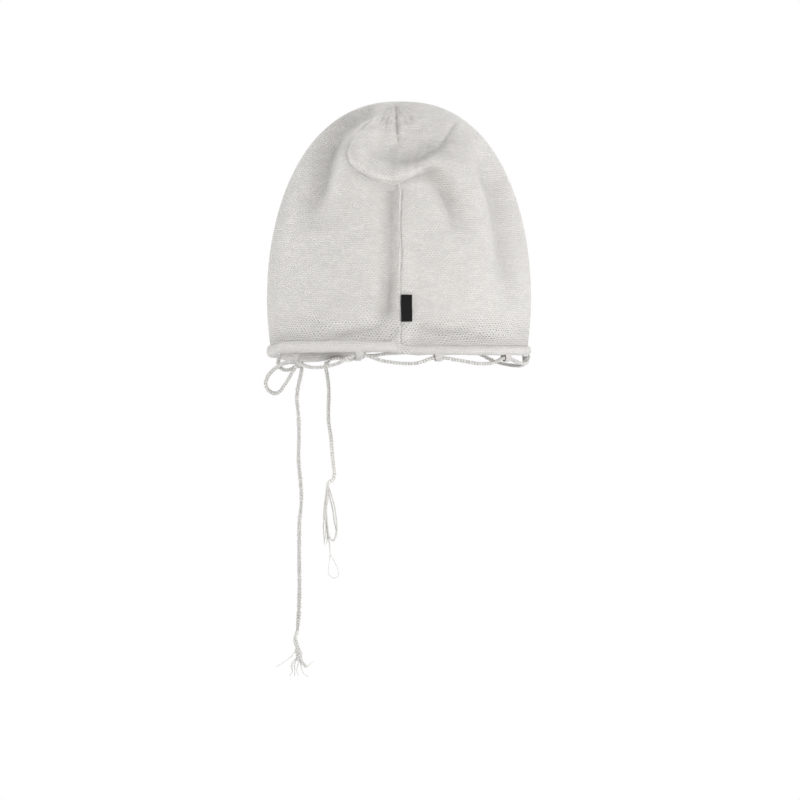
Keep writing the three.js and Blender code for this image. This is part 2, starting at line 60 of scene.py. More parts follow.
cadLow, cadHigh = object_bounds()
mm = 0.001
cadMiddle = (cadLow + cadHigh) / 2
bodyLow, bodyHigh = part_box("knit_body")
bpy.context.scene.view_settings.view_transform = "Standard"


# Camera and lights, in metres

view = {
    "lift": -0.0095,       # above the middle of the hat and its ties
    "across": 0.002,
    "distance": 9.0,
    "width": 0.6508,       # what the picture spans at the hat
    "sensor": 36.0,        # in millimetres
    "reach": 60,           # how far it sees
}

light = {
    "sky": 0.39,
    "key": {"place": (1.3, -2.9, 1.3), "size": 1.0, "power": 35},
    "right": {"place": (2.8, -1.0, 1.0), "size": 1.0, "power": 18},
    "low right": {"place": (2.2, -2.0, -0.7), "size": 1.0, "power": 11},
    "low": {"place": (0.7, -3.0, -1.2), "size": 0.9, "power": 18},
    "fill": {"place": (-2.3, -2.0, 0.4), "size": 1.4, "power": 8},
    "left": {"place": (-2.9, -0.6, 0.6), "size": 1.2, "power": 23},
    "behind left": {"place": (-2.8, 1.0, 0.6), "size": 1.6, "power": 30},
    "behind right": {"place": (2.8, 1.0, -0.2), "size": 1.6, "power": 18},
    "rim": {"place": (0.6, 2.0, 2.4), "size": 1.6, "power": 48},
}


def addCamera():
    data = bpy.data.cameras.new("camera")
    data.sensor_width = view["sensor"]
    data.lens = view["sensor"] * view["distance"] / view["width"]
    data.clip_end = view["reach"]
    camera = bpy.data.objects.new("camera", data)
    camera.location = (cadMiddle.x + view["across"], -view["distance"], cadMiddle.z + view["lift"])
    camera.rotation_euler = (math.pi / 2, 0, 0)
    bpy.context.scene.collection.objects.link(camera)
    bpy.context.scene.camera = camera


def addLight(name, place, size, power):
    data = bpy.data.lights.new(name, "AREA")
    data.shape = "DISK"
    data.size = size
    data.energy = power
    lamp = bpy.data.objects.new(name, data)
    lamp.location = place
    lamp.rotation_euler = (-Vector(place)).to_track_quat("-Z", "Y").to_euler()
    bpy.context.scene.collection.objects.link(lamp)


def addSky():
    world = bpy.data.worlds.new("sky")
    bpy.context.scene.world = world
    world.use_nodes = True
    nodes, links = world.node_tree.nodes, world.node_tree.links
    nodes.clear()
    seen = nodes.new("ShaderNodeLightPath")
    soft, plain = nodes.new("ShaderNodeBackground"), nodes.new("ShaderNodeBackground")
    soft.inputs["Strength"].default_value = light["sky"]
    plain.inputs["Strength"].default_value = 1.0
    for background in (soft, plain):
        background.inputs["Color"].default_value = (1, 1, 1, 1)
    mix, out = nodes.new("ShaderNodeMixShader"), nodes.new("ShaderNodeOutputWorld")
    links.new(seen.outputs["Is Camera Ray"], mix.inputs[0])
    links.new(soft.outputs[0], mix.inputs[1])
    links.new(plain.outputs[0], mix.inputs[2])
    links.new(mix.outputs[0], out.inputs["Surface"])


addCamera()
addSky()
for name, plan in light.items():
    if name != "sky":
        addLight(name, **plan)
print("camera and lights are set")


# Tools for meshes, paths and node trees

def smooth(value):
    value = np.clip(value, 0, 1)
    return value * value * (3 - 2 * value)


def lerp(a, b, share):
    return a + (b - a) * share


# Value between the rows (key, value) of a table, eased from row to row
def eased(rows, at):
    keys, values = np.array(rows, float).T
    at = np.clip(at, keys[0], keys[-1])
    i = np.clip(np.searchsorted(keys, at, side="right") - 1, 0, len(keys) - 2)
    return lerp(values[i], values[i + 1], smooth((at - keys[i]) / (keys[i + 1] - keys[i])))


def signedPower(value, power):
    return np.sign(value) * np.abs(value) ** power


def unit(vectors):
    return vectors / np.maximum(np.linalg.norm(vectors, axis=-1, keepdims=True), 1e-12)


# Smooth noise about 0: a few waves in seeded directions, size being their length
def waves(points, size, seed, count=7, spread=(0.7, 1.5)):
    rng = np.random.default_rng(seed)
    total = np.zeros(points.shape[:-1])
    for i in range(count):
        direction = unit(rng.normal(size=points.shape[-1]))
        reach = size * rng.uniform(*spread)
        total += np.sin(points @ direction * (2 * math.pi / reach) + rng.uniform(0, 2 * math.pi))
    return total / math.sqrt(count)


def makeObject(name, mesh, material=None):
    piece = bpy.data.objects.new(name, mesh)
    bpy.context.scene.collection.objects.link(piece)
    if material:
        mesh.materials.clear()
        mesh.materials.append(material)
    return piece


# Mesh object from points in millimetres
def makeMesh(name, points, faces, material=None, edges=()):
    mesh = bpy.data.meshes.new(name)
    mesh.from_pydata((np.asarray(points, float) * mm).tolist(), list(edges), faces)
    mesh.polygons.foreach_set("use_smooth", [True] * len(mesh.polygons))
    mesh.update()
    return makeObject(name, mesh, material)


# Points a step apart on the centripetal curve through a route, which is first drawn fine
def throughPoints(route, step=0.8, fine=40):
    route = np.array(route, float)
    width = route.shape[1]
    ends = np.array([2 * route[0] - route[1], *route, 2 * route[-1] - route[-2]])
    dense = []
    for i in range(len(route) - 1):
        a, b, c, d = ends[i:i + 4]
        gaps = [max(np.linalg.norm((q - p)[:3]), 1e-6) ** 0.5 for p, q in ((a, b), (b, c), (c, d))]
        t0, t1, t2, t3 = np.cumsum([0, *gaps])
        t = np.linspace(t1, t2, fine, endpoint=False)[:, None]
        ab = (t1 - t) / (t1 - t0) * a + (t - t0) / (t1 - t0) * b
        bc = (t2 - t) / (t2 - t1) * b + (t - t1) / (t2 - t1) * c
        cd = (t3 - t) / (t3 - t2) * c + (t - t2) / (t3 - t2) * d
        abc = (t2 - t) / (t2 - t0) * ab + (t - t0) / (t2 - t0) * bc
        bcd = (t3 - t) / (t3 - t1) * bc + (t - t1) / (t3 - t1) * cd
        dense.append((t2 - t) / (t2 - t1) * abc + (t - t1) / (t2 - t1) * bcd)
    dense = np.vstack([*dense, route[-1:]])
    passed = np.concatenate([[0], np.cumsum(np.linalg.norm(np.diff(dense[:, :3], axis=0), axis=1))])
    places = np.linspace(0, passed[-1], max(3, int(passed[-1] / step) + 1))
    return np.stack([np.interp(places, passed, dense[:, k]) for k in range(width)], axis=1)


# Object of edges alone along paths, for a node tree to dress. A fourth column is the path's thickness.
def makePath(name, *paths, closed=False):
    points, edges, girths = [], [], []
    for path in paths:
        edges += [(len(points) + i, len(points) + i + 1) for i in range(len(path) - 1)]
        if closed:
            edges.append((len(points) + len(path) - 1, len(points)))
        points += [tuple(point[:3]) for point in path]
        girths += [point[3] if len(point) > 3 else 1.0 for point in path]
    host = makeMesh(name, points, [], edges=edges)
    host.data.attributes.new("girth", "FLOAT", "POINT").data.foreach_set("value", girths)
    return host


band = {"around": 14, "squareness": 2.4, "narrowest": 0.05, "capTurn": 30}      # a cap has two rings


# Closed soft band along a path, with round ends: half sizes along a side direction and across it
def sweep(path, wide, thin, side):
    path = np.asarray(path, float)
    count, around = len(path), band["around"]
    wide, thin = np.broadcast_to(wide, count), np.broadcast_to(thin, count)
    tangent = unit(np.gradient(path, axis=0))
    across = unit(np.asarray(side, float) - (tangent @ np.asarray(side, float))[:, None] * tangent)
    up = np.cross(tangent, across)
    angle = np.arange(around) * 2 * math.pi / around
    c, s = (signedPower(part(angle), 2 / band["squareness"]) for part in (np.cos, np.sin))
    rings, sizes = [], []
    caps = [(i, math.radians(90 - band["capTurn"] * k), sign) for i, sign in ((0, -1), (count - 1, 1))
            for k in (1, 2)]
    order = [caps[0], caps[1], *[(i, 0, 0) for i in range(count)], caps[3], caps[2]]
    for i, lean, sign in order:
        share = math.cos(lean)
        centre = path[i] + tangent[i] * sign * thin[i] * math.sin(lean)
        girth = thin[i] * (1 - share)
        broad = max(wide[i] - girth, band["narrowest"])
        rings.append(centre + (np.outer(c, across[i]) * broad + np.outer(s, up[i]) * thin[i] * share))
        sizes.append((thin[i] * math.sin(lean) * sign, i))
    tips = [path[0] - tangent[0] * thin[0], path[-1] + tangent[-1] * thin[-1]]
    points = [*np.vstack(rings).tolist(), *[tip.tolist() for tip in tips]]
    passed = np.concatenate([[0], np.cumsum(np.linalg.norm(np.diff(path, axis=0), axis=1))])
    v = [passed[i] + extra for extra, i in sizes]
    faces, uvs, last = [], [], len(rings) - 1
    outline = 4 * float(np.mean(wide)) + 4 * float(np.mean(thin))
    for r in range(last):
        for k in range(around):
            n = (k + 1) % around
            faces.append((r * around + k, r * around + n, (r + 1) * around + n, (r + 1) * around + k))
            corners = ((r, k), (r, k + 1), (r + 1, k + 1), (r + 1, k))
            uvs += [(q / around * outline * mm, v[p] * mm) for p, q in corners]
    firstTip = len(rings) * around
    for k in range(around):
        n = (k + 1) % around
        faces += [(firstTip, n, k), (firstTip + 1, last * around + k, last * around + n)]
        uvs += [(0, v[0] * mm)] * 3 + [(0, v[-1] * mm)] * 3
    return points, faces, uvs


# Mesh object from (points, faces, uvs), with how open its knit is and its painted shade at each point: above
# 1 it is painted light
def makePiece(name, shape, material, openness=0.6, shade=1.0):
    points, faces, uvs = shape
    piece = makeMesh(name, points, faces, material)
    layer = piece.data.uv_layers.new(name="knit")
    layer.data.foreach_set("uv", np.array(uvs, np.float32).ravel())
    count = len(piece.data.vertices)
    for label, values in (("openness", openness), ("shade", shade)):
        values = np.broadcast_to(np.asarray(values, np.float32), count)
        piece.data.attributes.new(label, "FLOAT", "POINT").data.foreach_set("value", values)
    return piece


# Two sheets of rows by columns of points, closed round their rim, and where each point is on the knit
def thickSheet(front, behind, rows, columns, places):
    count = rows * columns
    faces = []
    for i in range(rows - 1):
        for j in range(columns - 1):
            a, b = i * columns + j, (i + 1) * columns + j
            faces += [(a, a + 1, b + 1, b), (count + a, count + b, count + b + 1, count + a + 1)]
    rim = [*range(columns), *[i * columns + columns - 1 for i in range(1, rows)],
           *range(count - 2, count - columns - 1, -1), *[i * columns for i in range(rows - 2, 0, -1)]]
    faces += [(b, a, count + a, count + b) for a, b in zip(rim, rim[1:] + rim[:1])]
    return [*front, *behind], faces, [places[corner % count] for face in faces for corner in face]


# A node tree whose inputs are (name, kind, value)
def newTree(name, kind, inputs, outputs):
    tree = bpy.data.node_groups.new(name, kind)
    for label, socket, value in inputs:
        made = tree.interface.new_socket(label, in_out="INPUT", socket_type=socket)
        if value is not None:
            made.default_value = value
    for label, socket in outputs:
        tree.interface.new_socket(label, in_out="OUTPUT", socket_type=socket)
    return tree, tree.nodes.new("NodeGroupInput"), tree.nodes.new("NodeGroupOutput")


# A node with its settings and inputs: an input is a value or another node's output
def addNode(tree, kind, inputs=None, **settings):
    node = tree.nodes.new(kind)
    for key, value in settings.items():
        setattr(node, key, value)
    for key, value in (inputs or {}).items():
        if isinstance(value, bpy.types.NodeSocket):
            tree.links.new(value, node.inputs[key])
        else:
            node.inputs[key].default_value = value
    return node


def calc(tree, operation, *values):
    return addNode(tree, "ShaderNodeMath", dict(enumerate(values)), operation=operation).outputs[0]


def vectorCalc(tree, operation, inputs):
    return addNode(tree, "ShaderNodeVectorMath", inputs, operation=operation).outputs[0]


def combined(tree, *values):
    return addNode(tree, "ShaderNodeCombineXYZ", dict(enumerate(values))).outputs[0]


# A value taken from one range to another
def ranged(tree, value, fromRange, toRange, **settings):
    return addNode(tree, "ShaderNodeMapRange", dict(enumerate((value, *fromRange, *toRange))),
                   **settings).outputs[0]


# Seeded random number between two values
def chanceOf(tree, low, high, seed):
    return addNode(tree, "FunctionNodeRandomValue", {"Min": low, "Max": high, "Seed": seed},
                   data_type="FLOAT").outputs[1]


# Geometry that keeps a value under a name, and the value kept
def stored(tree, geometry, name, value, domain):
    return addNode(tree, "GeometryNodeStoreNamedAttribute",
                   {"Geometry": geometry, "Name": name, "Value": value},
                   data_type="FLOAT", domain=domain).outputs[0]


def recalled(tree, name):
    return addNode(tree, "GeometryNodeInputNamedAttribute", {"Name": name}, data_type="FLOAT").outputs[0]


def circle(tree, corners, radius):
    return addNode(tree, "GeometryNodeCurvePrimitiveCircle",
                   {"Resolution": corners, "Radius": radius}).outputs[0]


# Last nodes of a tree: one real mesh, smooth, with its material
def closeTree(tree, geometry, material, out):
    real = addNode(tree, "GeometryNodeRealizeInstances", {"Geometry": geometry}).outputs[0]
    shaded = addNode(tree, "GeometryNodeSetShadeSmooth", {"Geometry": real}).outputs[0]
    done = addNode(tree, "GeometryNodeSetMaterial", {"Geometry": shaded, "Material": material})
    tree.links.new(done.outputs[0], out.inputs[0])


# Runs a node tree on an object and keeps the plain mesh that comes out
def dressed(host, tree, values):
    modifier = host.modifiers.new("dress", "NODES")
    modifier.node_group = tree
    for item in tree.interface.items_tree:
        if item.item_type == "SOCKET" and item.in_out == "INPUT" and item.name in values:
            modifier[item.identifier] = values[item.name]
    graph = bpy.context.evaluated_depsgraph_get()
    mesh = bpy.data.meshes.new_from_object(host.evaluated_get(graph), depsgraph=graph)
    host.modifiers.clear()
    name = host.name
    bpy.data.objects.remove(host)
    mesh.name = name
    return makeObject(name, mesh)


# Rides a piece on the part, and hides the solids that it stands for; the finish it is given is not used
def finishPiece(piece, slot, *nodes):
    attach(piece, "root")
    if nodes:
        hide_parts(*nodes)
    return piece


# Finishes

finishes = {
    "knit": {"color": (0.79, 0.77, 0.738), "roughness": 0.88, "sheen": 0.25},
    "seam": {"color": (0.76, 0.741, 0.71), "roughness": 0.88, "sheen": 0.2},
    "cord": {"color": (0.655, 0.643, 0.618), "roughness": 0.85, "sheen": 0.15},
    "yarn": {"color": (0.72, 0.706, 0.678), "roughness": 0.85, "sheen": 0.2},
    "tab": {"color": (0.004, 0.004, 0.005), "roughness": 0.75, "sheen": 0.03},
}
cloth = {"Sheen Roughness": 0.6, "Specular IOR Level": 0.25}
fibres = {
    "knit": {"Drift": 0.008, "Speckle": 0.05, "Speckle Size": 0.0017},
    "yarn": {"Drift": 0.03, "Drift Size": 0.02},
    "tab": {"Drift": 0.12, "Drift Size": 0.004, "Speckle": 0.2, "Speckle Size": 0.0003},
}


def newMaterial(name, look):
    material = bpy.data.materials.new(name)
    material.use_nodes = True
    tree = material.node_tree
    shader = tree.nodes["Principled BSDF"]
    for label, value in {"Roughness": look["roughness"], "Sheen Weight": look["sheen"], **cloth}.items():
        shader.inputs[label].default_value = value
    return material, tree, shader


# Slow drift of tone and speckle of fibres, as masks about 1
def buildFibreGroup():
    tree, given, out = newTree(
        "fibres", "ShaderNodeTree",
        [("Place", "NodeSocketVector", None), ("Drift Size", "NodeSocketFloat", 0.05),
         ("Drift", "NodeSocketFloat", 0.03), ("Speckle Size", "NodeSocketFloat", 0.0006),
         ("Speckle", "NodeSocketFloat", 0.06)],
        [("Tone", "NodeSocketFloat"), ("Height", "NodeSocketFloat")])
    place = given.outputs["Place"]
    parts = []
    for label in ("Drift", "Speckle"):
        scale = calc(tree, "DIVIDE", 1.0, given.outputs[label + " Size"])
        noise = addNode(tree, "ShaderNodeTexNoise", {"Vector": place, "Scale": scale, "Detail": 2.0})
        centred = calc(tree, "SUBTRACT", noise.outputs[0], 0.5)
        parts.append((centred, calc(tree, "MULTIPLY", centred, given.outputs[label])))
    total = calc(tree, "ADD", parts[0][1], parts[1][1])
    tree.links.new(calc(tree, "MULTIPLY_ADD", total, 2.0, 1.0), out.inputs["Tone"])
    tree.links.new(parts[1][0], out.inputs["Height"])
    return tree


knitPlan = {
    "pull": (0.004, 55.0),         # slow drift of the courses: how far and how fine
    "wobble": 260.0,               # how fine each stitch's own wobble is
    "vee": 1.5,                    # how steeply a stitch's two legs rise
    "poreShape": (5.0, 6.0),       # narrower as these grow, across and up
    "poreEdge": (0.25, 0.95),
    "poreLeast": 0.25,             # share of a pore that every stitch has, and what chance adds
    "poreChance": 1.3,
    "lift": 0.5,                   # how much higher than others a stitch may stand
    "fuzz": 0.5,                   # relief of the fibres, as a share of the stitches'
}


# Open mesh knit: V-shaped stitches in courses, each course half a stitch along, with a pore in each stitch
def buildKnitGroup():
    tree, given, out = newTree(
        "meshKnit", "ShaderNodeTree",
        [("Place", "NodeSocketVector", None), ("Wale", "NodeSocketFloat", 0.003),
         ("Course", "NodeSocketFloat", 0.0015), ("Wobble", "NodeSocketFloat", 0.0005),
         ("Stagger", "NodeSocketFloat", 0.5)],
        [("Height", "NodeSocketFloat"), ("Pore", "NodeSocketFloat"), ("Chance", "NodeSocketFloat")])
    place = given.outputs["Place"]
    pull, fineness = knitPlan["pull"]
    slow = addNode(tree, "ShaderNodeTexNoise", {"Vector": place, "Scale": fineness, "Detail": 1.0})
    noise = addNode(tree, "ShaderNodeTexNoise", {"Vector": place, "Scale": knitPlan["wobble"], "Detail": 3.0})
    centred = vectorCalc(tree, "SUBTRACT", {0: noise.outputs["Color"], 1: (0.5, 0.5, 0.5)})
    moved = vectorCalc(tree, "SCALE", {0: centred, "Scale": given.outputs["Wobble"]})
    pulled = vectorCalc(tree, "SCALE", {0: slow.outputs["Color"], "Scale": pull})
    bent = vectorCalc(tree, "ADD", {0: place, 1: pulled})
    shifted = vectorCalc(tree, "ADD", {0: bent, 1: moved})
    split = addNode(tree, "ShaderNodeSeparateXYZ", {0: shifted})
    row = calc(tree, "DIVIDE", split.outputs[1], given.outputs["Course"])
    step = calc(tree, "MULTIPLY", calc(tree, "FLOOR", row), given.outputs["Stagger"])
    along = calc(tree, "ADD", calc(tree, "DIVIDE", split.outputs[0], given.outputs["Wale"]), step)
    cell = combined(tree, calc(tree, "FLOOR", along), calc(tree, "FLOOR", row))
    chance = addNode(tree, "ShaderNodeTexWhiteNoise", {"Vector": cell}, noise_dimensions="2D").outputs[0]
    across = calc(tree, "SUBTRACT", calc(tree, "FRACT", along), 0.5)
    up = calc(tree, "SUBTRACT", calc(tree, "FRACT", row), 0.5)
    beside = calc(tree, "ABSOLUTE", across)
    chevron = calc(tree, "FRACT", calc(tree, "MULTIPLY_ADD", beside, knitPlan["vee"], row))
    leg = calc(tree, "ABSOLUTE", calc(tree, "SUBTRACT", chevron, 0.5))
    legs = calc(tree, "SUBTRACT", 1.0, calc(tree, "MULTIPLY", calc(tree, "MULTIPLY", leg, leg), 4.0))
    wide, tall = (calc(tree, "MULTIPLY", calc(tree, "MULTIPLY", away, away), narrow)
                  for away, narrow in zip((across, up), knitPlan["poreShape"]))
    away = calc(tree, "SQRT", calc(tree, "ADD", wide, tall))
    pore = ranged(tree, away, knitPlan["poreEdge"], (1.0, 0.0), interpolation_type="SMOOTHSTEP")
    depth = calc(tree, "MULTIPLY_ADD", chance, knitPlan["poreChance"], knitPlan["poreLeast"])
    uneven = calc(tree, "MULTIPLY", pore, depth)
    height = calc(tree, "SUBTRACT", calc(tree, "MULTIPLY_ADD", chance, knitPlan["lift"], legs), uneven)
    tree.links.new(height, out.inputs["Height"])
    tree.links.new(uneven, out.inputs["Pore"])
    tree.links.new(calc(tree, "SUBTRACT", chance, 0.5), out.inputs["Chance"])
    return tree


fibreGroup = buildFibreGroup()
knitGroup = buildKnitGroup()


def addGroup(tree, group, inputs):
    return addNode(tree, "ShaderNodeGroup", inputs, node_tree=group)


# The look's colour times the given factors, into the shader
def colourFrom(tree, shader, color, *factors):
    total = factors[0]
    for factor in factors[1:]:
        total = calc(tree, "MULTIPLY", total, factor)
    tree.links.new(vectorCalc(tree, "SCALE", {0: color, "Scale": total}), shader.inputs["Base Color"])


def bumpFrom(tree, shader, height, distance):
    bump = addNode(tree, "ShaderNodeBump", {"Height": height, "Distance": distance, "Strength": 1.0})
    tree.links.new(bump.outputs[0], shader.inputs["Normal"])


# Knit by wale and course, how dark its pores are, how much its stitches differ, and its relief
def knitMaterial(name, look, wale, course, wobble, pore, lively, relief):
    material, tree, shader = newMaterial(name, look)
    place = addNode(tree, "ShaderNodeUVMap", uv_map="knit").outputs[0]
    stitch = addGroup(tree, knitGroup, {"Place": place, "Wale": wale, "Course": course, "Wobble": wobble})
    fibre = addGroup(tree, fibreGroup, {"Place": place, **fibres["knit"]})
    # The pores are real holes in the knit; the dark painted in them is the shade of the hat's inside
    dark = calc(tree, "MULTIPLY", stitch.outputs["Pore"], pore)
    # The stored shade is painted shade, and painted light where it is above 1
    openness, shade = (addNode(tree, "ShaderNodeAttribute", attribute_name=label).outputs["Fac"]
                       for label in ("openness", "shade"))
    dark = calc(tree, "MULTIPLY", dark, openness)
    left = calc(tree, "MULTIPLY_ADD", stitch.outputs["Chance"], lively, calc(tree, "SUBTRACT", 1.0, dark))
    colourFrom(tree, shader, look["color"], fibre.outputs["Tone"], left, shade)
    height = calc(tree, "MULTIPLY_ADD", fibre.outputs["Height"], knitPlan["fuzz"], stitch.outputs["Height"])
    bumpFrom(tree, shader, height, relief)
    return material


# Spun cotton with a speckle of a size, times a stored attribute where it has one: its stitches' random tone
# with painted shade and light
def yarnMaterial(name, look, size, speckle, shadeBy=None, relief=0.0003):
    material, tree, shader = newMaterial(name, look)
    place = addNode(tree, "ShaderNodeTexCoord").outputs["Object"]
    fibre = addGroup(tree, fibreGroup, {"Place": place, **fibres["yarn"],
                                        "Speckle": speckle, "Speckle Size": size})
    factors = [fibre.outputs["Tone"]]
    if shadeBy:
        factors.append(addNode(tree, "ShaderNodeAttribute", attribute_name=shadeBy).outputs["Fac"])
    colourFrom(tree, shader, look["color"], *factors)
    bumpFrom(tree, shader, fibre.outputs["Height"], relief)
    return material


ribbonPlan = {"rib": 0.00045, "warp": 0.0006, "shares": (0.6, 0.4), "tone": 0.2, "relief": 0.00012}


# Woven ribbon: fine ribs across it, over a warp
def ribbonMaterial(name, look):
    material, tree, shader = newMaterial(name, look)
    place = addNode(tree, "ShaderNodeUVMap", uv_map="knit").outputs[0]
    split = addNode(tree, "ShaderNodeSeparateXYZ", {0: place})
    turns = [2 * math.pi / ribbonPlan[size] for size in ("rib", "warp")]
    rib, warp = (calc(tree, "SINE", calc(tree, "MULTIPLY", split.outputs[axis], turn))
                 for axis, turn in zip((1, 0), turns))
    ribShare, warpShare = ribbonPlan["shares"]
    weave = calc(tree, "MULTIPLY_ADD", rib, ribShare, calc(tree, "MULTIPLY", warp, warpShare))
    fibre = addGroup(tree, fibreGroup, {"Place": place, **fibres["tab"]})
    tone = calc(tree, "MULTIPLY_ADD", weave, ribbonPlan["tone"], fibre.outputs["Tone"])
    colourFrom(tree, shader, look["color"], tone)
    bumpFrom(tree, shader, weave, ribbonPlan["relief"])
    return material


knitLook = knitMaterial("mesh_knit", finishes["knit"], wale=0.0027, course=0.0017, wobble=0.0015,
                        pore=0.28, lively=0.17, relief=0.00045)
hemLook = knitMaterial("hem_knit", finishes["knit"], wale=0.0024, course=0.0018, wobble=0.0009,
                       pore=0.2, lively=0.16, relief=0.0004)
tabLook = ribbonMaterial("tab_weave", finishes["tab"])
cordLook = yarnMaterial("cord_yarn", finishes["cord"], size=0.0014, speckle=0.3, shadeBy="shade")
seamLook = yarnMaterial("seam_yarn", finishes["seam"], size=0.0005, speckle=0.07, shadeBy="shade")
yarnLook = yarnMaterial("loose_yarn", finishes["yarn"], size=0.0005, speckle=0.07)
print("finishes are made")


# Shape of the hat

hat = {
    "wall": 2.4,
    "spring": 44,                # height where the sides start to close in
    "rise": 2.09,                # exponents of the crown's outline
    "close": 2.32,
    "roundness": 2.15,           # exponent of the plan
    "slack": 1,                  # how far the knit's tip stays below its solid's
    "lean": (1, -8),             # how far the tip has slumped from the centre
    "hemMean": 6,
    "hemDraw": (2.8, 5.4),       # how far the hem draws the wall in, side to side and back to front
    "hemCurve": 1.6,             # the more, the closer to the hem it starts
    "hemFollow": 50,             # height up to which the rows follow the hem
    "lipRows": (143, 26),        # rows that follow the lip: height and reach
}
hem = {
    "halfWidth": 103.4,
    "halfDepth": 71.8,
    "thick": 8.4,
    "high": 10.4,
    "gap": 0.3,                  # between it and the wall's lowest row on average
    "sink": 0.6,                 # how far that row goes down into it
    "roundOut": 0.85,            # exponents of its section
    "roundUp": 0.9,
}
hat["halfWidth"] = (bodyHigh.x - bodyLow.x) / 2 / mm - hat["wall"] / 2
hat["halfDepth"] = bodyHigh.y / mm - hat["wall"] / 2
hat["top"] = bodyHigh.z / mm - hat["wall"] / 2 - hat["slack"]
hat["lowest"] = hat["hemMean"] + hem["high"] / 2 + hem["gap"]

# Middle height of the rolled hem by turn. It steps at the back seam and droops at the front left.
hemLine = [
    (0, 4.8), (35, 8.5), (65, 11), (92, 10.2), (104, 7.4), (112, 4.0), (120, 1.2), (130, -0.4), (140, -0.8),
    (150, 0.4), (163, 2.6), (180, 3.0), (195, 3.6), (208, 6.3), (235, 7.0), (266, 7.0), (276, 5.0),
    (330, 4.8), (360, 4.8),
]
# How high the roll stands above its underside by turn: less to the right of the seam
hemRoll = [(0, 8.0), (35, 9.2), (180, 10.4), (200, 10.2), (268.5, 10), (275, 8.0), (360, 8.0)]


def hemMiddle(turn):
    return eased(hemLine, np.mod(turn, 360))


def hemTop(turn):
    return hemMiddle(turn) - hem["high"] / 2 + eased(hemRoll, np.mod(turn, 360))


def planPoint(turn, wide, deep):
    angle, power = np.radians(turn), 2 / hat["roundness"]
    return wide * signedPower(np.cos(angle), power), deep * signedPower(np.sin(angle), power)


# A point beside the hem's middle line
def rimPoint(turn, drop, lean):
    x, y = planPoint(turn, hem["halfWidth"] + lean, hem["halfDepth"] + lean)
    return np.array([x, y, hemMiddle(turn) - hem["high"] / 2 - drop])


# Direction of the hem's middle line in the plan at a turn, and the way out from it
def rimAxes(turn, lean=0):
    along = rimPoint(turn + 0.5, 0, lean) - rimPoint(turn, 0, lean)
    heading = math.atan2(along[1], along[0])
    return (np.array([math.cos(heading), math.sin(heading), 0]),
            np.array([math.sin(heading), -math.cos(heading), 0]))


# Cords: their routes repeat those of the frame's solids

cordPlan = {"diameter": 3.9, "gap": 0.3, "slack": 0.15, "yarnRadius": 1.8}
knotPlan = {
    "turn": 220.5,                 # its place beside the rim
    "drop": 8.6,
    "lean": 1,
    "reach": (0.85, 0.85, 0.78),   # size of its trefoil, and radius of the cord there
    "cord": 1.75,
    "points": 60,
    "seed": 9,
}
carrierHold = 2.4            # turn on either side of a carrier where the cord lies level
heldDrop = cordPlan["diameter"] / 2 + cordPlan["gap"] + cordPlan["slack"]
spans = [                    # turn of the next carrier, sag, where it hangs lowest, lean outwards
    (254, 6.3, 0.5, 2), (286.5, 5.6, 0.5, 0.8), (326, 4.6, 0.6, 1), (361.5, 4.2, 0.5, 1.5),
    (417.5, 9, 0.48, 1.4), (442.5, 1.2, 0.5, 0.3), (467.5, 1, 0.5, 0.3),
]
# The last stretch, inside the hem, as turn, drop and lean
innerWay = [(472, 2.9, -3.4), (476, 0.8, -6.3), (480, -1.4, -7), (484, -0.6, -7.1), (486.5, 3.2, -7)]

bowLoopRoute = [
    (-80, -49, -7.4), (-83, -50, -9.4), (-86.2, -50.4, -14), (-90.3, -50, -21.2), (-93.6, -49.2, -26),
    (-96.4, -48.2, -29.9), (-100, -47.2, -31.4), (-103.4, -46.4, -30.4), (-106.4, -45.6, -27.8),
    (-107.9, -45, -23.2), (-106.2, -44.6, -17.6), (-102.9, -44.4, -13.4), (-99.2, -44.6, -10.4),
    (-94.4, -45.4, -7.4), (-88, -47, -6), (-81, -48.4, -6.4),
]
smallLoopRoute = [
    (-80, -48.6, -7.4), (-84.4, -45.4, -9.8), (-88, -42.6, -11.9), (-92, -40, -12.4), (-95.8, -37.4, -10.8),
    (-97.8, -35.4, -7), (-97.2, -33.6, -2.6), (-95.6, -32, 2.6),
]
tieLongRoute = [
    (-79.4, -48.6, -7.4), (-78.6, -50.2, -11), (-79.6, -50.8, -17), (-81.4, -51, -25.2), (-82.6, -51, -35),
    (-81.8, -50.8, -44), (-81, -50.6, -53.7), (-80.9, -50.5, -69), (-81.2, -50.5, -85.5),
    (-79.7, -50.6, -101.7), (-78.9, -50.7, -118), (-80.4, -50.8, -134.2), (-80.7, -50.8, -150.5),
    (-80.7, -50.7, -166.8), (-80.5, -50.6, -183), (-80.7, -50.5, -199.3), (-81.3, -50.5, -213),
    (-82.6, -50.5, -226),
]
tieShortRoute = [
    (-59.6, 52.8, -6.4), (-60, 53.2, -9.4), (-59.2, 54, -14), (-58.2, 54.4, -21), (-57.5, 54.5, -29),
    (-57.6, 54.5, -37), (-57.9, 54.4, -46), (-57.6, 54.3, -55), (-56.3, 54.2, -63), (-55.3, 54.1, -71),
    (-54.7, 54.1, -80), (-53.8, 54, -89.5), (-53, 54, -96.8), (-53.8, 54, -101.6), (-56.6, 54, -103.4),
    (-58.4, 54, -105.5),
]


def rimRoute():
    route = [rimPoint(knotPlan["turn"], knotPlan["drop"], knotPlan["lean"])]
    turnFrom, dropFrom = knotPlan["turn"], knotPlan["drop"]
    for to, sag, low, lean in spans:
        for share in (0.25, 0.5, 0.75):
            skewed = share ** (math.log(0.5) / math.log(low))
            hang = 4 * skewed * (1 - skewed)
            turn = lerp(turnFrom, to - carrierHold, share)
            route.append(rimPoint(turn, lerp(dropFrom, heldDrop, share) + sag * hang, lean * hang))
        route += [rimPoint(to - carrierHold, heldDrop, 0), rimPoint(to + carrierHold, heldDrop, 0)]
        turnFrom, dropFrom = to + carrierHold, heldDrop
    return route + [rimPoint(turn, drop, lean) for turn, drop, lean in innerWay]


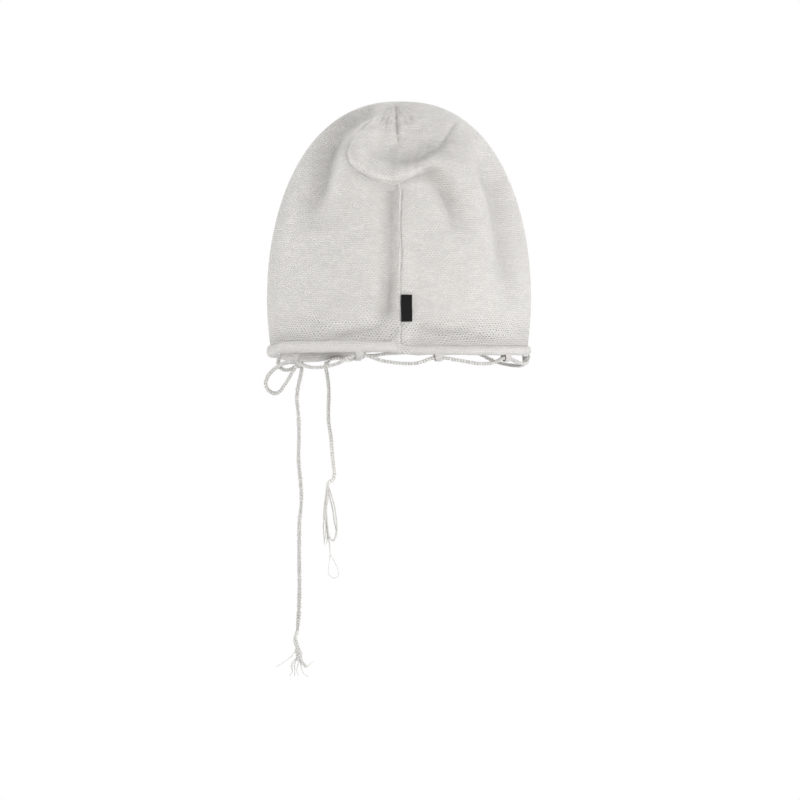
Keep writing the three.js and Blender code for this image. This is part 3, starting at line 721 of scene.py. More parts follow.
chainPlan = {
    "lobe": (8, 5),                # segments and rings of a lobe of yarn
    "off": (0.8, 0.62),            # shares of the reach that a lobe lies to the side and deep
    "wide": (0.9, 1.06),           # least and most of a stitch's width by chance, and of its length
    "long": (0.92, 1.08),
    "roughWide": 0.5,              # share of the roughness that widens a stitch
    "roughTurn": 4.0,              # how far the roughness turns it, in radians
    "relief": 0.2,                 # share of a stitch's width that comes and goes with the relief
    "tip": (0.965, 0.995),         # shares of the cord between which it tapers
    "toneTurn": (0.6, 0.72),       # and between which its tone changes, which paints light on the rim cord's far stretch
    "tones": (0.93, 1.07),
    "core": (8, 0.74, 0.72),       # corners, share of the radius and painted shade of the core, seen between the lobes
}


# Chain of stitches along a path: four slanted lobes of yarn a stitch, round a core
def buildCordTree():
    tree, given, out = newTree(
        "chainCord", "GeometryNodeTree",
        [("Geometry", "NodeSocketGeometry", None), ("Stitch", "NodeSocketFloat", 0.0024),
         ("Radius", "NodeSocketFloat", 0.0018), ("Lobe Length", "NodeSocketFloat", 0.0031),
         ("Lobe Width", "NodeSocketFloat", 0.0018), ("Slant", "NodeSocketFloat", 0.7),
         ("Relief Start", "NodeSocketFloat", 1.0), ("Relief End", "NodeSocketFloat", 1.0),
         ("Width Start", "NodeSocketFloat", 1.0), ("Width End", "NodeSocketFloat", 1.0),
         ("Taper", "NodeSocketFloat", 1.0), ("Rough", "NodeSocketFloat", 0.0),
         ("Tone Start", "NodeSocketFloat", 1.0), ("Tone End", "NodeSocketFloat", 1.0),
         ("Seed", "NodeSocketInt", 1), ("Material", "NodeSocketMaterial", None)],
        [("Geometry", "NodeSocketGeometry")])
    size = given.outputs
    curve = addNode(tree, "GeometryNodeMeshToCurve", {"Mesh": size["Geometry"]}).outputs[0]
    factor = addNode(tree, "GeometryNodeSplineParameter").outputs["Factor"]
    kept = stored(tree, curve, "along", factor, "POINT")
    points = addNode(tree, "GeometryNodeCurveToPoints", {"Curve": kept, "Length": size["Stitch"]},
                     mode="LENGTH").outputs
    half = calc(tree, "MULTIPLY", size["Lobe Width"], 0.5)
    long = calc(tree, "MULTIPLY", size["Lobe Length"], 0.5)
    segments, rings = chainPlan["lobe"]
    sphere = addNode(tree, "GeometryNodeMeshUVSphere",
                     {"Segments": segments, "Rings": rings, "Radius": 1.0}).outputs[0]
    lobe = addNode(tree, "GeometryNodeTransform",
                   {"Geometry": sphere, "Scale": combined(tree, half, half, long)}).outputs[0]
    reach = calc(tree, "SUBTRACT", size["Radius"], half)
    side, deep = (calc(tree, "MULTIPLY", reach, share) for share in chainPlan["off"])
    joined = tree.nodes.new("GeometryNodeJoinGeometry")
    for x, y in ((1, 1), (-1, 1), (1, -1), (-1, -1)):
        lean = combined(tree, 0.0, calc(tree, "MULTIPLY", size["Slant"], float(-x)), 0.0)
        beside, behind = calc(tree, "MULTIPLY", side, float(x)), calc(tree, "MULTIPLY", deep, float(y))
        place = combined(tree, beside, behind, 0.0)
        placed = addNode(tree, "GeometryNodeTransform",
                         {"Geometry": lobe, "Translation": place, "Rotation": lean}).outputs[0]
        tree.links.new(placed, joined.inputs[0])
    along = recalled(tree, "along")
    relief, broad = (ranged(tree, along, (0.0, 1.0), (size[f"{label} Start"], size[f"{label} End"]))
                     for label in ("Relief", "Width"))
    girth = calc(tree, "MULTIPLY", broad, ranged(tree, along, chainPlan["tip"], (1.0, size["Taper"])))
    thin = calc(tree, "SUBTRACT", chainPlan["wide"][0], size["Rough"])
    thick = calc(tree, "MULTIPLY_ADD", size["Rough"], chainPlan["roughWide"], chainPlan["wide"][1])
    least, most = (combined(tree, across, across, length)
                   for across, length in zip((thin, thick), chainPlan["long"]))
    uneven = addNode(tree, "FunctionNodeRandomValue", {"Min": least, "Max": most, "Seed": size["Seed"]},
                     data_type="FLOAT_VECTOR").outputs[0]
    full = calc(tree, "MULTIPLY_ADD", relief, chainPlan["relief"], 1 - chainPlan["relief"])
    wide = calc(tree, "MULTIPLY", full, girth)
    scale = vectorCalc(tree, "MULTIPLY", {0: uneven, 1: combined(tree, wide, wide, 1.0)})
    stitches = addNode(tree, "GeometryNodeInstanceOnPoints",
                       {"Points": points["Points"], "Instance": joined.outputs[0],
                        "Rotation": points["Rotation"], "Scale": scale}).outputs[0]
    turn = calc(tree, "MULTIPLY", size["Rough"], chainPlan["roughTurn"])
    roll = chanceOf(tree, calc(tree, "MULTIPLY", turn, -1.0), turn, size["Seed"])
    rolled = addNode(tree, "GeometryNodeRotateInstances",
                     {"Instances": stitches, "Rotation": combined(tree, 0.0, 0.0, roll),
                      "Local Space": True}).outputs[0]
    # Tone along the cord: above 1 it is painted light, for stretches that lie in the hat's shade
    tone = ranged(tree, along, chainPlan["toneTurn"], (size["Tone Start"], size["Tone End"]))
    chance = chanceOf(tree, *chainPlan["tones"], size["Seed"])
    lobes = stored(tree, rolled, "shade", calc(tree, "MULTIPLY", chance, tone), "INSTANCE")
    corners, share, paintedCoreShade = chainPlan["core"]
    ring = circle(tree, corners, calc(tree, "MULTIPLY", size["Radius"], share))
    core = addNode(tree, "GeometryNodeCurveToMesh",
                   {"Curve": kept, "Profile Curve": ring, "Scale": girth, "Fill Caps": True}).outputs[0]
    both = tree.nodes.new("GeometryNodeJoinGeometry")
    # The core is darker: painted shade between the lobes
    shadedCore = stored(tree, core, "shade", calc(tree, "MULTIPLY", tone, paintedCoreShade), "POINT")
    tree.links.new(shadedCore, both.inputs[0])
    tree.links.new(lobes, both.inputs[0])
    closeTree(tree, both.outputs[0], size["Material"], out)
    return tree


plyCorners = 6


# Yarn of plies twisted round a path, as thick as the path's girth
def buildYarnTree():
    tree, given, out = newTree(
        "pliedYarn", "GeometryNodeTree",
        [("Geometry", "NodeSocketGeometry", None), ("Plies", "NodeSocketInt", 3),
         ("Ply Share", "NodeSocketFloat", 0.56), ("Twist", "NodeSocketFloat", 900.0),
         ("Material", "NodeSocketMaterial", None)],
        [("Geometry", "NodeSocketGeometry")])
    size = given.outputs
    curve = addNode(tree, "GeometryNodeMeshToCurve", {"Mesh": size["Geometry"]}).outputs[0]
    half = calc(tree, "MULTIPLY", recalled(tree, "girth"), 0.5 * mm)
    length = addNode(tree, "GeometryNodeSplineParameter").outputs["Length"]
    turned = addNode(tree, "GeometryNodeSetCurveTilt",
                     {"Curve": curve, "Tilt": calc(tree, "MULTIPLY", length, size["Twist"])}).outputs[0]
    ring = circle(tree, plyCorners, size["Ply Share"])
    places = circle(tree, size["Plies"], calc(tree, "SUBTRACT", 1.0, size["Ply Share"]))
    plies = addNode(tree, "GeometryNodeInstanceOnPoints", {"Points": places, "Instance": ring}).outputs[0]
    section = addNode(tree, "GeometryNodeRealizeInstances", {"Geometry": plies}).outputs[0]
    yarn = addNode(tree, "GeometryNodeCurveToMesh",
                   {"Curve": turned, "Profile Curve": section, "Scale": half, "Fill Caps": True}).outputs[0]
    closeTree(tree, yarn, size["Material"], out)
    return tree


cordTree = buildCordTree()
yarnTree = buildYarnTree()

strand = {
    "girth": 1.15,               # how much thicker a thread is than its table says, to look as full
    "apart": 0.1,                # chance in how strands are spread, and in their twist, reach and thickness
    "twist": (0.75, 1.3),
    "reach": (0.75, 1.05),
    "thick": (0.85, 1.15),
    "step": 0.7,
}

# Frayed end of the long tie, as points x, z, depth beside the tie, and thickness
tassel = {
    "name": "frayed_tassel",
    "node": "frayed_end",
    "depth": -50.6,
    "core": [(-81.9, -223, 0, 3.2), (-83.4, -226.5, 0, 2.2), (-84.0, -229.5, 0, 3.2),
             (-83.4, -233.5, 0, 3.8), (-82.2, -236.5, 0, 3.4), (-81.8, -239, 0, 5.0),
             (-80.6, -242.8, 0, 6.2), (-80.4, -246.5, 0, 4.0)],
    "strands": 7,               # in its core, with their twist in radians and share of its thickness
    "twist": 2.6,
    "share": 0.46,
    "step": 0.7,
    "threads": [
        [(-83.2, -238.5, -1, 1.1), (-86.5, -243.5, -1.6, 0.7), (-92.7, -248.2, -2, 0.5),
         (-99.8, -252.8, -2, 0.55)],
        [(-81.4, -244, 0, 1.6), (-85.3, -248, 0.5, 1.1), (-86.9, -251.5, 0.6, 1.4), (-86.2, -256, 0.4, 1.0),
         (-88.6, -260.4, 0, 0.5)],
        [(-81.8, -245, 0.6, 1.3), (-84.4, -250, 1, 0.9), (-84.2, -255.5, 1.2, 0.8),
         (-84.6, -260.6, 1.2, 0.55)],
        [(-80.9, -245, -0.5, 1.6), (-81.5, -250, -0.8, 0.9), (-82.8, -255, -1, 0.7),
         (-81.4, -259.6, -1, 0.55)],
        [(-80.6, -245, 0.3, 1.6), (-79.6, -249, 0.8, 1.2), (-79, -253, 1, 0.8), (-77.8, -257, 1.4, 0.6),
         (-73.2, -260.9, 1.6, 0.55)],
        [(-80.3, -244.5, -0.3, 1.8), (-77.5, -249.5, -0.6, 2.2), (-75.6, -252, -0.6, 2.6),
         (-74.6, -252.4, -0.5, 1.4), (-72, -250, -0.4, 0.6), (-69.2, -248.4, -0.4, 0.4)],
    ],
    "seed": 21,
}

# Yarn pulled out of the short tie: a bundle of strands, two loops, loose ends and a last thin loop
pulledYarn = {
    "name": "pulled_yarn",
    "node": "yarn_loops",
    "depth": 54,
    "core": [(-57.9, -104.2, 0, 2.6), (-58.6, -112, 0, 3.3), (-60.1, -124, 0.1, 3.2), (-61, -134, 0.1, 2.6)],
    "strands": 4,
    "twist": 1.2,
    "share": 0.5,
    "step": 0.8,
    "threads": [
        [(-58.3, -106, 0, 1.0), (-55.4, -114, -0.8, 1.2), (-52.8, -124, -1.2, 1.3), (-51, -137, -1.2, 1.3),
         (-51.2, -146, -1, 1.4), (-53.9, -151.8, -0.7, 1.5), (-57.2, -148, -0.6, 1.4),
         (-58.5, -139, -0.4, 1.3), (-59.4, -128, 0, 1.2)],
        [(-58.6, -108, 0.2, 0.9), (-56.2, -118, 1.2, 1.1), (-54.2, -127, 1.6, 1.1), (-53, -136, 1.4, 1.1),
         (-51.4, -144, 0.2, 1.0), (-52.4, -149.6, -0.6, 0.9)],
        [(-60.8, -130, 0.1, 1.3), (-61.8, -138, 0.2, 1.1), (-61.6, -147, 0.2, 1.0), (-60.6, -156, 0.1, 0.55)],
        [(-60.2, -130, -0.3, 1.3), (-60, -141, -0.5, 1.1), (-60.3, -149, -0.5, 1.0),
         (-61.9, -153.5, -0.5, 0.55)],
        [(-60.4, -131, 0.5, 1.2), (-58.8, -143, 0.8, 1.2), (-58.6, -150, 0.8, 1.0),
         (-59.4, -154.5, 0.8, 0.55)],
        [(-58.4, -146, 0.2, 1.3), (-57.2, -152, 0.2, 1.2), (-56.6, -158, 0.2, 0.9), (-56.4, -165, 0.2, 0.8)],
        [(-56.4, -163, 0.2, 0.6), (-57.2, -171, 0.4, 0.55), (-57.8, -178, 0.6, 0.5),
         (-55.4, -181.6, 0.7, 0.55), (-51.7, -182.2, 0.6, 0.6), (-49.4, -178.6, 0.4, 0.55),
         (-50, -175, 0.2, 0.5), (-53, -168.6, 0.1, 0.55), (-56.2, -163.4, 0.1, 0.6)],
    ],
    "seed": 22,
}


# Points (x, z, depth, thickness) of a hanging thread as points in space
def hung(points, depth):
    return [(x, depth + beside, z, girth * strand["girth"]) for x, z, beside, girth in points]


# Strands that wander round a common middle line, each a share of its thickness
def bundle(plan):
    rng = np.random.default_rng(plan["seed"])
    middle = throughPoints(hung(plan["core"], plan["depth"]), strand["step"])
    passed = np.linspace(0, 1, len(middle))
    made = []
    for number in range(plan["strands"]):
        phase = 2 * math.pi * (number / plan["strands"] + rng.uniform(-strand["apart"], strand["apart"]))
        turn = phase + plan["twist"] * passed * rng.uniform(*strand["twist"])
        reach = (1 - plan["share"]) * middle[:, 3] / 2 * rng.uniform(*strand["reach"])
        girth = middle[:, 3] * plan["share"] * rng.uniform(*strand["thick"])
        made.append(np.stack([middle[:, 0] + reach * np.cos(turn), middle[:, 1] + reach * np.sin(turn),
                              middle[:, 2], girth], axis=1))
    return made


def addLooseYarn(plan):
    threads = [throughPoints(hung(thread, plan["depth"]), plan["step"]) for thread in plan["threads"]]
    host = makePath(plan["name"], *bundle(plan), *threads)
    return finishPiece(dressed(host, yarnTree, {"Material": yarnLook}), "cord", plan["node"])


# The cords, with their lengths in metres; relief and tone are given for a cord's start and its end
cordPieces = [
    # the rim cord's far stretch gets painted light, as it lies in the hat's shade
    {"name": "rim_drawcord", "route": rimRoute(), "node": "rim_cord", "length": 0.447,
     "farEnd": "object", "relief": (1.0, 1.0), "seed": 3, "rough": 0.04, "tone": (1.0, 1.25)},
    {"name": "bow_cord", "route": bowLoopRoute, "node": "bow_loop", "length": 0.082,
     "farEnd": "object", "relief": (0.7, 0.7), "seed": 4, "rough": 0.06},
    {"name": "small_loop_cord", "route": smallLoopRoute, "node": "bow_loop_small", "length": 0.034,
     "farEnd": "object", "relief": (0.9, 0.9), "seed": 5},
    {"name": "long_tie", "route": tieLongRoute, "node": "tie_long", "length": 0.22,
     "farEnd": "knot", "relief": (0.6, 1.15), "seed": 6, "end": tassel,
     "widthEnd": 0.95, "taper": 0.65, "rough": 0.14, "tone": (0.98, 0.9)},
    # the short tie gets painted light, as it hangs in the hat's shade
    {"name": "short_tie", "route": tieShortRoute, "node": "tie_short", "length": 0.105,
     "farEnd": "knot", "relief": (0.5, 0.9), "seed": 7, "end": pulledYarn,
     "taper": 0.75, "rough": 0.05, "tone": (1.15, 1.15)},
]


def addCord(plan):
    path = throughPoints(plan["route"])
    host = makePath(plan["name"], path)
    firstRelief, lastRelief = plan["relief"]
    firstTone, lastTone = plan.get("tone", (1.0, 1.0))
    cord = dressed(host, cordTree, {
        "Radius": cordPlan["yarnRadius"] * mm, "Seed": plan["seed"], "Material": cordLook,
        "Relief Start": firstRelief, "Relief End": lastRelief, "Tone Start": firstTone, "Tone End": lastTone,
        "Width End": plan.get("widthEnd", 1.0), "Taper": plan.get("taper", 1.0),
        "Rough": plan.get("rough", 0.0)})
    finishPiece(cord, "cord", plan["node"])
    reach = np.linalg.norm(np.diff(path, axis=0), axis=1).sum()
    ends = [addLooseYarn(plan["end"])] if "end" in plan else []
    print(f"{plan['name']}: {reach:.1f} mm, {len(cord.data.polygons)} faces")


for plan in cordPieces:
    addCord(plan)
print("cords are laid")


# The knot is a turn of the same cord drawn into a trefoil
def addKnot():
    t = np.linspace(0, 2 * math.pi, knotPlan["points"], endpoint=False)
    trefoil = np.stack([np.sin(t) + 2 * np.sin(2 * t), -np.sin(3 * t), np.cos(t) - 2 * np.cos(2 * t)], axis=1)
    centre = rimPoint(knotPlan["turn"], knotPlan["drop"], knotPlan["lean"])
    path = centre + trefoil * knotPlan["reach"]
    host = makePath("bow_knot_turns", path, closed=True)
    knot = dressed(host, cordTree, {"Radius": knotPlan["cord"] * mm, "Seed": knotPlan["seed"],
                                    "Material": cordLook})
    finishPiece(knot, "cord", "bow_knot")


addKnot()
print("knot is tied")


# Knitted shell

# Height of the slumped crown's lower lip across the back, which the rows of the mesh follow
lip = [
    (-88, 143), (-60, 149), (-43, 151), (-32, 147.5), (-23, 143.5), (-12, 140.8), (-4, 140), (3, 141.5),
    (10, 145), (17, 149.5), (25, 151.5), (39, 152), (54, 150), (88, 143),
]

# Folds of the back, each along a curve through points (x, z). A fold has its depth (negative inwards), its
# widths on the left and right hand as the curve runs, and the shares of its length where it comes and goes.
# Each fold paints shade into the knit's colour, by its depth and by a set amount; a set amount below 0 paints
# light.
folds = {
    "left valley": {
        "deep": -12, "wide": (12, 9), "ends": (0.12, 0.35), "paintedShade": 0.4,
        "line": [(-10, 208), (-27.5, 202.5), (-42, 195.5), (-52, 186.5), (-57.4, 175.5), (-61, 163),
                 (-64.2, 150), (-67.2, 135), (-69.4, 120), (-70.6, 105), (-71, 93)]},
    "shade of the left valley": {
        "deep": 0, "dark": 13, "wide": (8, 5.5), "ends": (0.3, 0.45),
        "line": [(-12, 203), (-26, 198), (-41, 190), (-51, 181), (-59.5, 168), (-65.4, 156), (-69.2, 143),
                 (-72, 126), (-73.6, 108), (-74, 98)]},
    "left of the left valley": {
        "deep": 2, "wide": (6, 8), "ends": (0.3, 0.3), "paintedShade": 1.5,
        "line": [(-75, 166), (-81, 145), (-84.5, 125), (-86, 105), (-86, 80)]},
    "light of the crown": {
        "deep": 0, "dark": -8, "wide": (10, 10), "ends": (0.3, 0.3),
        "line": [(-13, 198), (-22, 186), (-25, 172), (-20, 160)]},
    "light between valley and crown": {
        "deep": 0, "dark": -7, "wide": (6, 6), "ends": (0.25, 0.4),
        "line": [(-43.5, 170), (-47, 153), (-50, 136), (-52, 116)]},
    "light right of the dart": {
        "deep": 0, "dark": -5, "wide": (10, 9), "ends": (0.3, 0.3),
        "line": [(6, 193), (19, 191), (33, 185)]},
    "ridge crease": {
        "deep": -2.3, "wide": (2.2, 2.2), "ends": (0.3, 0.3), "paintedShade": 3.5,
        "line": [(-19, 192), (-23.5, 188), (-28, 183), (-31.5, 177)]},
    "left of the crown": {
        "deep": 3.2, "wide": (9, 6), "ends": (0.3, 0.3), "paintedShade": 1.5,
        "line": [(-14, 197), (-25, 186), (-31, 173), (-30, 161), (-23, 151)]},
    "centre dart": {
        "deep": -2.6, "wide": (2.8, 2.4), "ends": (0.12, 0.45), "paintedShade": 3,
        "line": [(-3.6, 205), (-2.6, 192), (-0.4, 166)]},
    "hollow under the dart": {
        "deep": -4.8, "wide": (10, 9), "ends": (0.5, 0.35), "paintedShade": 1.0,
        "line": [(-6, 182), (-9, 168), (-14, 152)]},
    "ridge below the dart": {
        "deep": 1.1, "wide": (3, 3), "ends": (0.4, 0.2), "paintedShade": 0,
        "line": [(-1.6, 173), (-1.8, 162), (-2.4, 148)]},
    "trough of the crown": {
        "deep": -8.4, "wide": (15, 8.5), "ends": (0.34, 0.4), "paintedShade": 1.2,
        "line": [(-16, 160), (-4, 158.5), (7, 159.5), (17, 162), (26, 166), (34, 171.5), (40, 178.5),
                 (45, 187)]},
    "end of the trough": {
        "deep": -1.7, "wide": (3, 2.6), "ends": (0.4, 0.3), "paintedShade": 3,
        "line": [(30, 169), (37, 175), (42, 182), (47, 190)]},
    "roll under it": {
        "deep": 2.6, "wide": (5.5, 5.5), "ends": (0.2, 0.3),
        "line": [(-8, 147), (6, 149.5), (18, 154), (30, 160), (38, 167)]},
    "right pocket": {
        "deep": -10.5, "wide": (10.5, 7), "ends": (0.27, 0.55),
        "line": [(2, 149.5), (12, 149), (20.5, 147.6), (28, 142.6), (34.6, 134), (39.6, 122.6),
                 (43.6, 110.4), (47.6, 98.4), (51, 84.3)]},
    "right valley": {
        "deep": -9.5, "wide": (10, 10), "ends": (0.25, 0.4), "paintedShade": 1.1,
        "line": [(56, 170), (68.5, 155), (77, 138), (82, 118), (85.6, 95), (88, 70), (90, 48), (91, 28)]},
    "right of the seam": {
        "deep": -2.4, "wide": (20, 8), "ends": (0.1, 0.3), "paintedShade": 0,
        "line": [(13, 141), (14, 100), (14, 60), (15, 24)]},
    "seam ridge": {
        "deep": 1.0, "wide": (1.9, 1.6), "ends": (0.03, 0.1), "paintedShade": 0,
        "line": [(0.5, 139), (0.3, 122), (-0.5, 108), (-0.3, 96), (0.4, 84), (-0.2, 70), (-0.8, 56),
                 (-0.3, 30)]},
    "seam groove": {
        "deep": -0.8, "wide": (1.0, 1.0), "ends": (0.05, 0.05), "paintedShade": 5,
        "line": [(2.5, 138), (2.3, 122), (1.5, 108), (1.7, 96), (2.3, 84), (1.8, 70), (1.3, 56), (1.8, 30),
                 (2.2, 6)]},
    "seam allowance": {
        "deep": 2.6, "wide": (5.5, 5.5), "ends": (0.6, 0.01),
        "line": [(3.5, 28), (3.4, 14), (3.4, 4)]},
    "left of the seam": {
        "deep": -7.2, "wide": (7.5, 12), "ends": (0.08, 0.15),
        "line": [(-6.2, 142), (-7, 120), (-7.3, 95), (-7.8, 70), (-9, 48), (-10.6, 32), (-14, 18)]},
    "beside the tab": {
        "deep": -2.4, "wide": (6, 8), "ends": (0.4, 0.4),
        "line": [(-9, 72), (-9.5, 52), (-10.5, 36), (-15, 24)]},
    "left tuck": {
        "deep": -3.6, "wide": (5, 4), "ends": (0.4, 0.2),
        "line": [(-62, 12), (-44, 15.5), (-26, 19.5), (-7, 25)]},
    "right tuck": {
        "deep": -3.8, "wide": (5, 4), "ends": (0.15, 0.6),
        "line": [(8, 24), (20, 19.5), (34, 17), (50, 18), (66, 15), (86, 12)]},
    "shade of the right tuck": {
        "deep": 0, "dark": 5, "wide": (6, 6), "ends": (0.15, 0.2),
        "line": [(8, 22), (18, 20), (28, 18.5), (42, 18), (60, 15), (82, 12)]},
}

# Gathers that fan out from the top of the dart, each to a point below it
gathers = {
    "top": (-4, 203.5),
    "fan": (0.1, 0.6),         # shares of the way aside that a gather has gone at its top and in its middle
    "to": ((-19, 180), (-13, 176), (8, 182), (16, 184), (25, 189)),
    "fold": {"deep": -0.9, "wide": (1.8, 1.8), "ends": (0.25, 0.5), "paintedShade": 4},
}
for number, (x, z) in enumerate(gathers["to"]):
    topX, topZ = gathers["top"]
    first, middle = gathers["fan"]
    way = [(topX + first * x, topZ), (topX + middle * (x - topX), lerp(topZ, z, 0.5)), (x, z)]
    folds[f"gather {number}"] = {**gathers["fold"], "line": way}

# The edge of the slumped crown, where the knit steps out on the left hand of the curve and sinks back further
crownEdge = {
    # the knit takes painted shade along the foot of the step
    "step": 5.2, "face": 3.4, "fade": 18, "ends": (0.2, 0.11), "evening": 24, "paintedShade": 10,
    "line": [(-29, 178), (-36.5, 170), (-39.5, 162.5), (-37.5, 155), (-31, 149), (-22, 144), (-12, 141),
             (-4, 140), (3, 141.5), (9, 144.5), (15, 148.3), (21, 151.3), (27, 152.8), (33, 152.4),
             (38, 150)],
}
# Small lumps of the slumped crown: their height and size, and the middle and reach of where they are
crumple = {"high": 0.45, "size": 9, "at": (2, 184), "reach": (42, 20), "seed": 17}
# Slow unevenness of the whole wall, which fades towards the tip
drift = {"deep": 0.35, "size": 70, "fade": 40, "seed": 11}
# Where the folds stop: towards the sides, and where the wall turns away from the back
foldFade = {"back": 0.3, "edge": 0.1, "face": 0.5}
foldStep = 2.5                 # how finely a fold's curve is followed
# Painted shade and light in the knit's colour, from its folds and the crease above the hem
paintedFoldShade = {
    "fold": 0.011,             # how much painted shade the knit takes for each millimetre that it folds in
    "brightest": -8,           # limit of how much painted light it takes, in such millimetres
    "crease": 0.13,            # how much painted shade it takes in the crease above the hem
    "creaseHigh": (2.5, 4.5),  # height of that crease over the hem, and its reach
}

shell = {
    "columns": 420,
    "crowding": (0.36, 0.44, 0.20),    # shares of the first, third and fifth power of the way round
    "bands": ((44, 26), (130, 62), (168, 46), (None, 56)),     # height and rows, the last to the tip
    "innerStep": 3,                    # the inner side has one column and one row for so many
    "innerRowStep": 4,
    "tuck": (19, 13, 0.4),             # height and reach of the opened knit above the hem, and its fade
    "open": (0.5, 1.5),                # how open the knit is, and how much more in the tuck
    "patches": (0.15, 30, 5),          # slow change of it: by how much, how large, and its seed
    "plain": 0.6,                      # how open it is inside
}


def crownHeight(start, share):
    rise = hat["top"] - hat["spring"]
    first = math.asin(((start - hat["spring"]) / rise) ** (hat["rise"] / 2))
    return hat["spring"] + rise * math.sin(lerp(first, math.pi / 2, share)) ** (2 / hat["rise"])


def shellHeights():
    heights = [hat["lowest"]]
    for top, rows in shell["bands"]:
        start = heights[-1]
        for row in range(1, rows + 1):
            share = row / rows
            heights.append(lerp(start, top, share) if top else crownHeight(start, share))
    return np.array(heights)


# Middle surface of the wall before its folds
def plainWall(turn, height):
    span = hat["top"] - hat["spring"]
    up = np.clip((height - hat["spring"]) / span, 0, 1)
    spread = np.maximum(0, 1 - up ** hat["rise"]) ** (1 / hat["close"])
    below = np.maximum(0, (hat["spring"] - height) / (hat["spring"] - hat["lowest"])) ** hat["hemCurve"]
    wide = (hat["halfWidth"] - hat["hemDraw"][0] * below) * spread
    deep = (hat["halfDepth"] - hat["hemDraw"][1] * below) * spread
    x, y = planPoint(turn, wide, deep)
    nearLip = np.exp(-((height - hat["lipRows"][0]) / hat["lipRows"][1]) ** 2)
    atBack = np.maximum(0, -np.sin(np.radians(turn))) ** 0.5
    followLip = (eased(lip, x) - hat["lipRows"][0]) * nearLip * atBack
    start = hemTop(turn) - hem["sink"] - hat["lowest"]
    followHem = start * smooth(1 - (height - hat["lowest"]) / hat["hemFollow"])
    return np.stack([x + hat["lean"][0] * up ** 2, y + hat["lean"][1] * up ** 2,
                     height + followLip + followHem], axis=-1)


# Distance from (x, z) to a curve, positive on its left hand, and the share of its length passed there
def alongLine(line, x, z):
    curve = throughPoints([(px, 0, pz) for px, pz in line], foldStep)[:, ::2]
    lengths = np.linalg.norm(np.diff(curve, axis=0), axis=1)
    best, share, side, passed = np.full(x.shape, 1e9), np.zeros(x.shape), np.ones(x.shape), 0.0
    for (ax, az), (bx, bz), length in zip(curve[:-1], curve[1:], lengths):
        t = np.clip(((x - ax) * (bx - ax) + (z - az) * (bz - az)) / length ** 2, 0, 1)
        distance = np.hypot(x - ax - t * (bx - ax), z - az - t * (bz - az))
        nearer = distance < best
        best = np.where(nearer, distance, best)
        share = np.where(nearer, (passed + t * length) / lengths.sum(), share)
        side = np.where(nearer, np.sign((bx - ax) * (z - az) - (bz - az) * (x - ax)), side)
        passed += length
    return best * side, share


# A grid of values averaged with its neighbours a number of times
def evened(values, times):
    for _ in range(times):
        padded = np.pad(values, ((1, 1), (0, 0)), mode="edge")
        values = (padded[:-2] + 2 * values + padded[2:]) / 4
        values = (np.roll(values, 1, axis=1) + 2 * values + np.roll(values, -1, axis=1)) / 4
    return values


# How strong a fold is along its length: it comes and goes over shares of it
def comeAndGo(share, ends):
    return smooth(share / ends[0]) * smooth((1 - share) / ends[1])


# How far the knit folds out or in, and its painted shade in its valleys and under the crown's edge, with
# painted light below 0
def foldDepth(x, z):
    depth, paintedShade = np.zeros(x.shape), np.zeros(x.shape)
    for fold in folds.values():
        distance, share = alongLine(fold["line"], x, z)
        width = np.where(distance > 0, fold["wide"][0], fold["wide"][1])
        window, bell = comeAndGo(share, fold["ends"]), np.exp(-(distance / width) ** 2)
        moved = fold["deep"] * window * bell
        depth += moved
        paintedShade -= moved * fold.get("paintedShade", 1.0) - fold.get("dark", 0) * window * bell
    distance, share = alongLine(crownEdge["line"], x, z)
    window, face = comeAndGo(share, crownEdge["ends"]), crownEdge["face"]
    sink = evened(window * np.exp(-(np.maximum(0, distance) / crownEdge["fade"]) ** 2), crownEdge["evening"])
    depth += crownEdge["step"] * smooth(distance / face + 0.5) * sink
    paintedShade += crownEdge["paintedShade"] * window * np.exp(-((distance + face / 2) / face) ** 2)
    return depth, np.maximum(paintedShade, paintedFoldShade["brightest"])


# Outward directions of a grid of points that wraps round
def gridNormals(grid):
    along = np.roll(grid, -1, axis=1) - np.roll(grid, 1, axis=1)
    up = np.empty_like(grid)
    up[1:-1] = grid[2:] - grid[:-2]
    up[0], up[-1] = grid[1] - grid[0], grid[-1] - grid[-2]
    return unit(np.cross(along, up))


# Faces of a grid that wraps round and ends in a tip, each with its corners' rows and columns
def gridFaces(rows, columns, base=0, inwards=False):
    for row in range(rows - 1):
        for column in range(columns):
            corners = [(row, column), (row, column + 1), (row + 1, column + 1), (row + 1, column)]
            if row == rows - 2:
                del corners[2]
            if inwards:
                corners = corners[1::-1] + corners[:1:-1]
            yield [base + r * columns + (k % columns if r < rows - 1 else 0) for r, k in corners], corners


# Points of a grid, row by row, with one for its tip
def gridPoints(grid):
    return grid[:-1].reshape(-1, 3).tolist() + [grid[-1, 0].tolist()]


# Outward directions of the wall, upright at its tip
def wallNormals(middle):
    outwards = gridNormals(middle)
    outwards[-1] = (0, 0, 1)
    return outwards


# The middle surface of the wall with its folds and lumps, and the painted shade at each point
def foldedWall(plain, turn, height):
    outwards = wallNormals(plain)
    back = smooth(-np.sin(np.radians(turn)) / foldFade["back"])
    facing = smooth((-outwards[..., 1] - foldFade["edge"]) / foldFade["face"])
    move = outwards * np.stack([facing, np.ones_like(facing), facing], axis=-1)
    depth, paintedShade = (back * values for values in foldDepth(plain[..., 0], plain[..., 2]))
    beside, above = ((plain[..., axis] - at) / reach
                     for axis, at, reach in zip((0, 2), crumple["at"], crumple["reach"]))
    lumps = waves(plain, crumple["size"], crumple["seed"])
    depth += back * crumple["high"] * lumps * np.exp(-beside ** 2 - above ** 2)
    slow = waves(plain, drift["size"], drift["seed"])
    depth += drift["deep"] * slow * smooth((height[-1] - height) / drift["fade"])
    middle = plain + move * depth[..., None]
    middle[-1] = middle[-1, 0]
    return middle, paintedShade


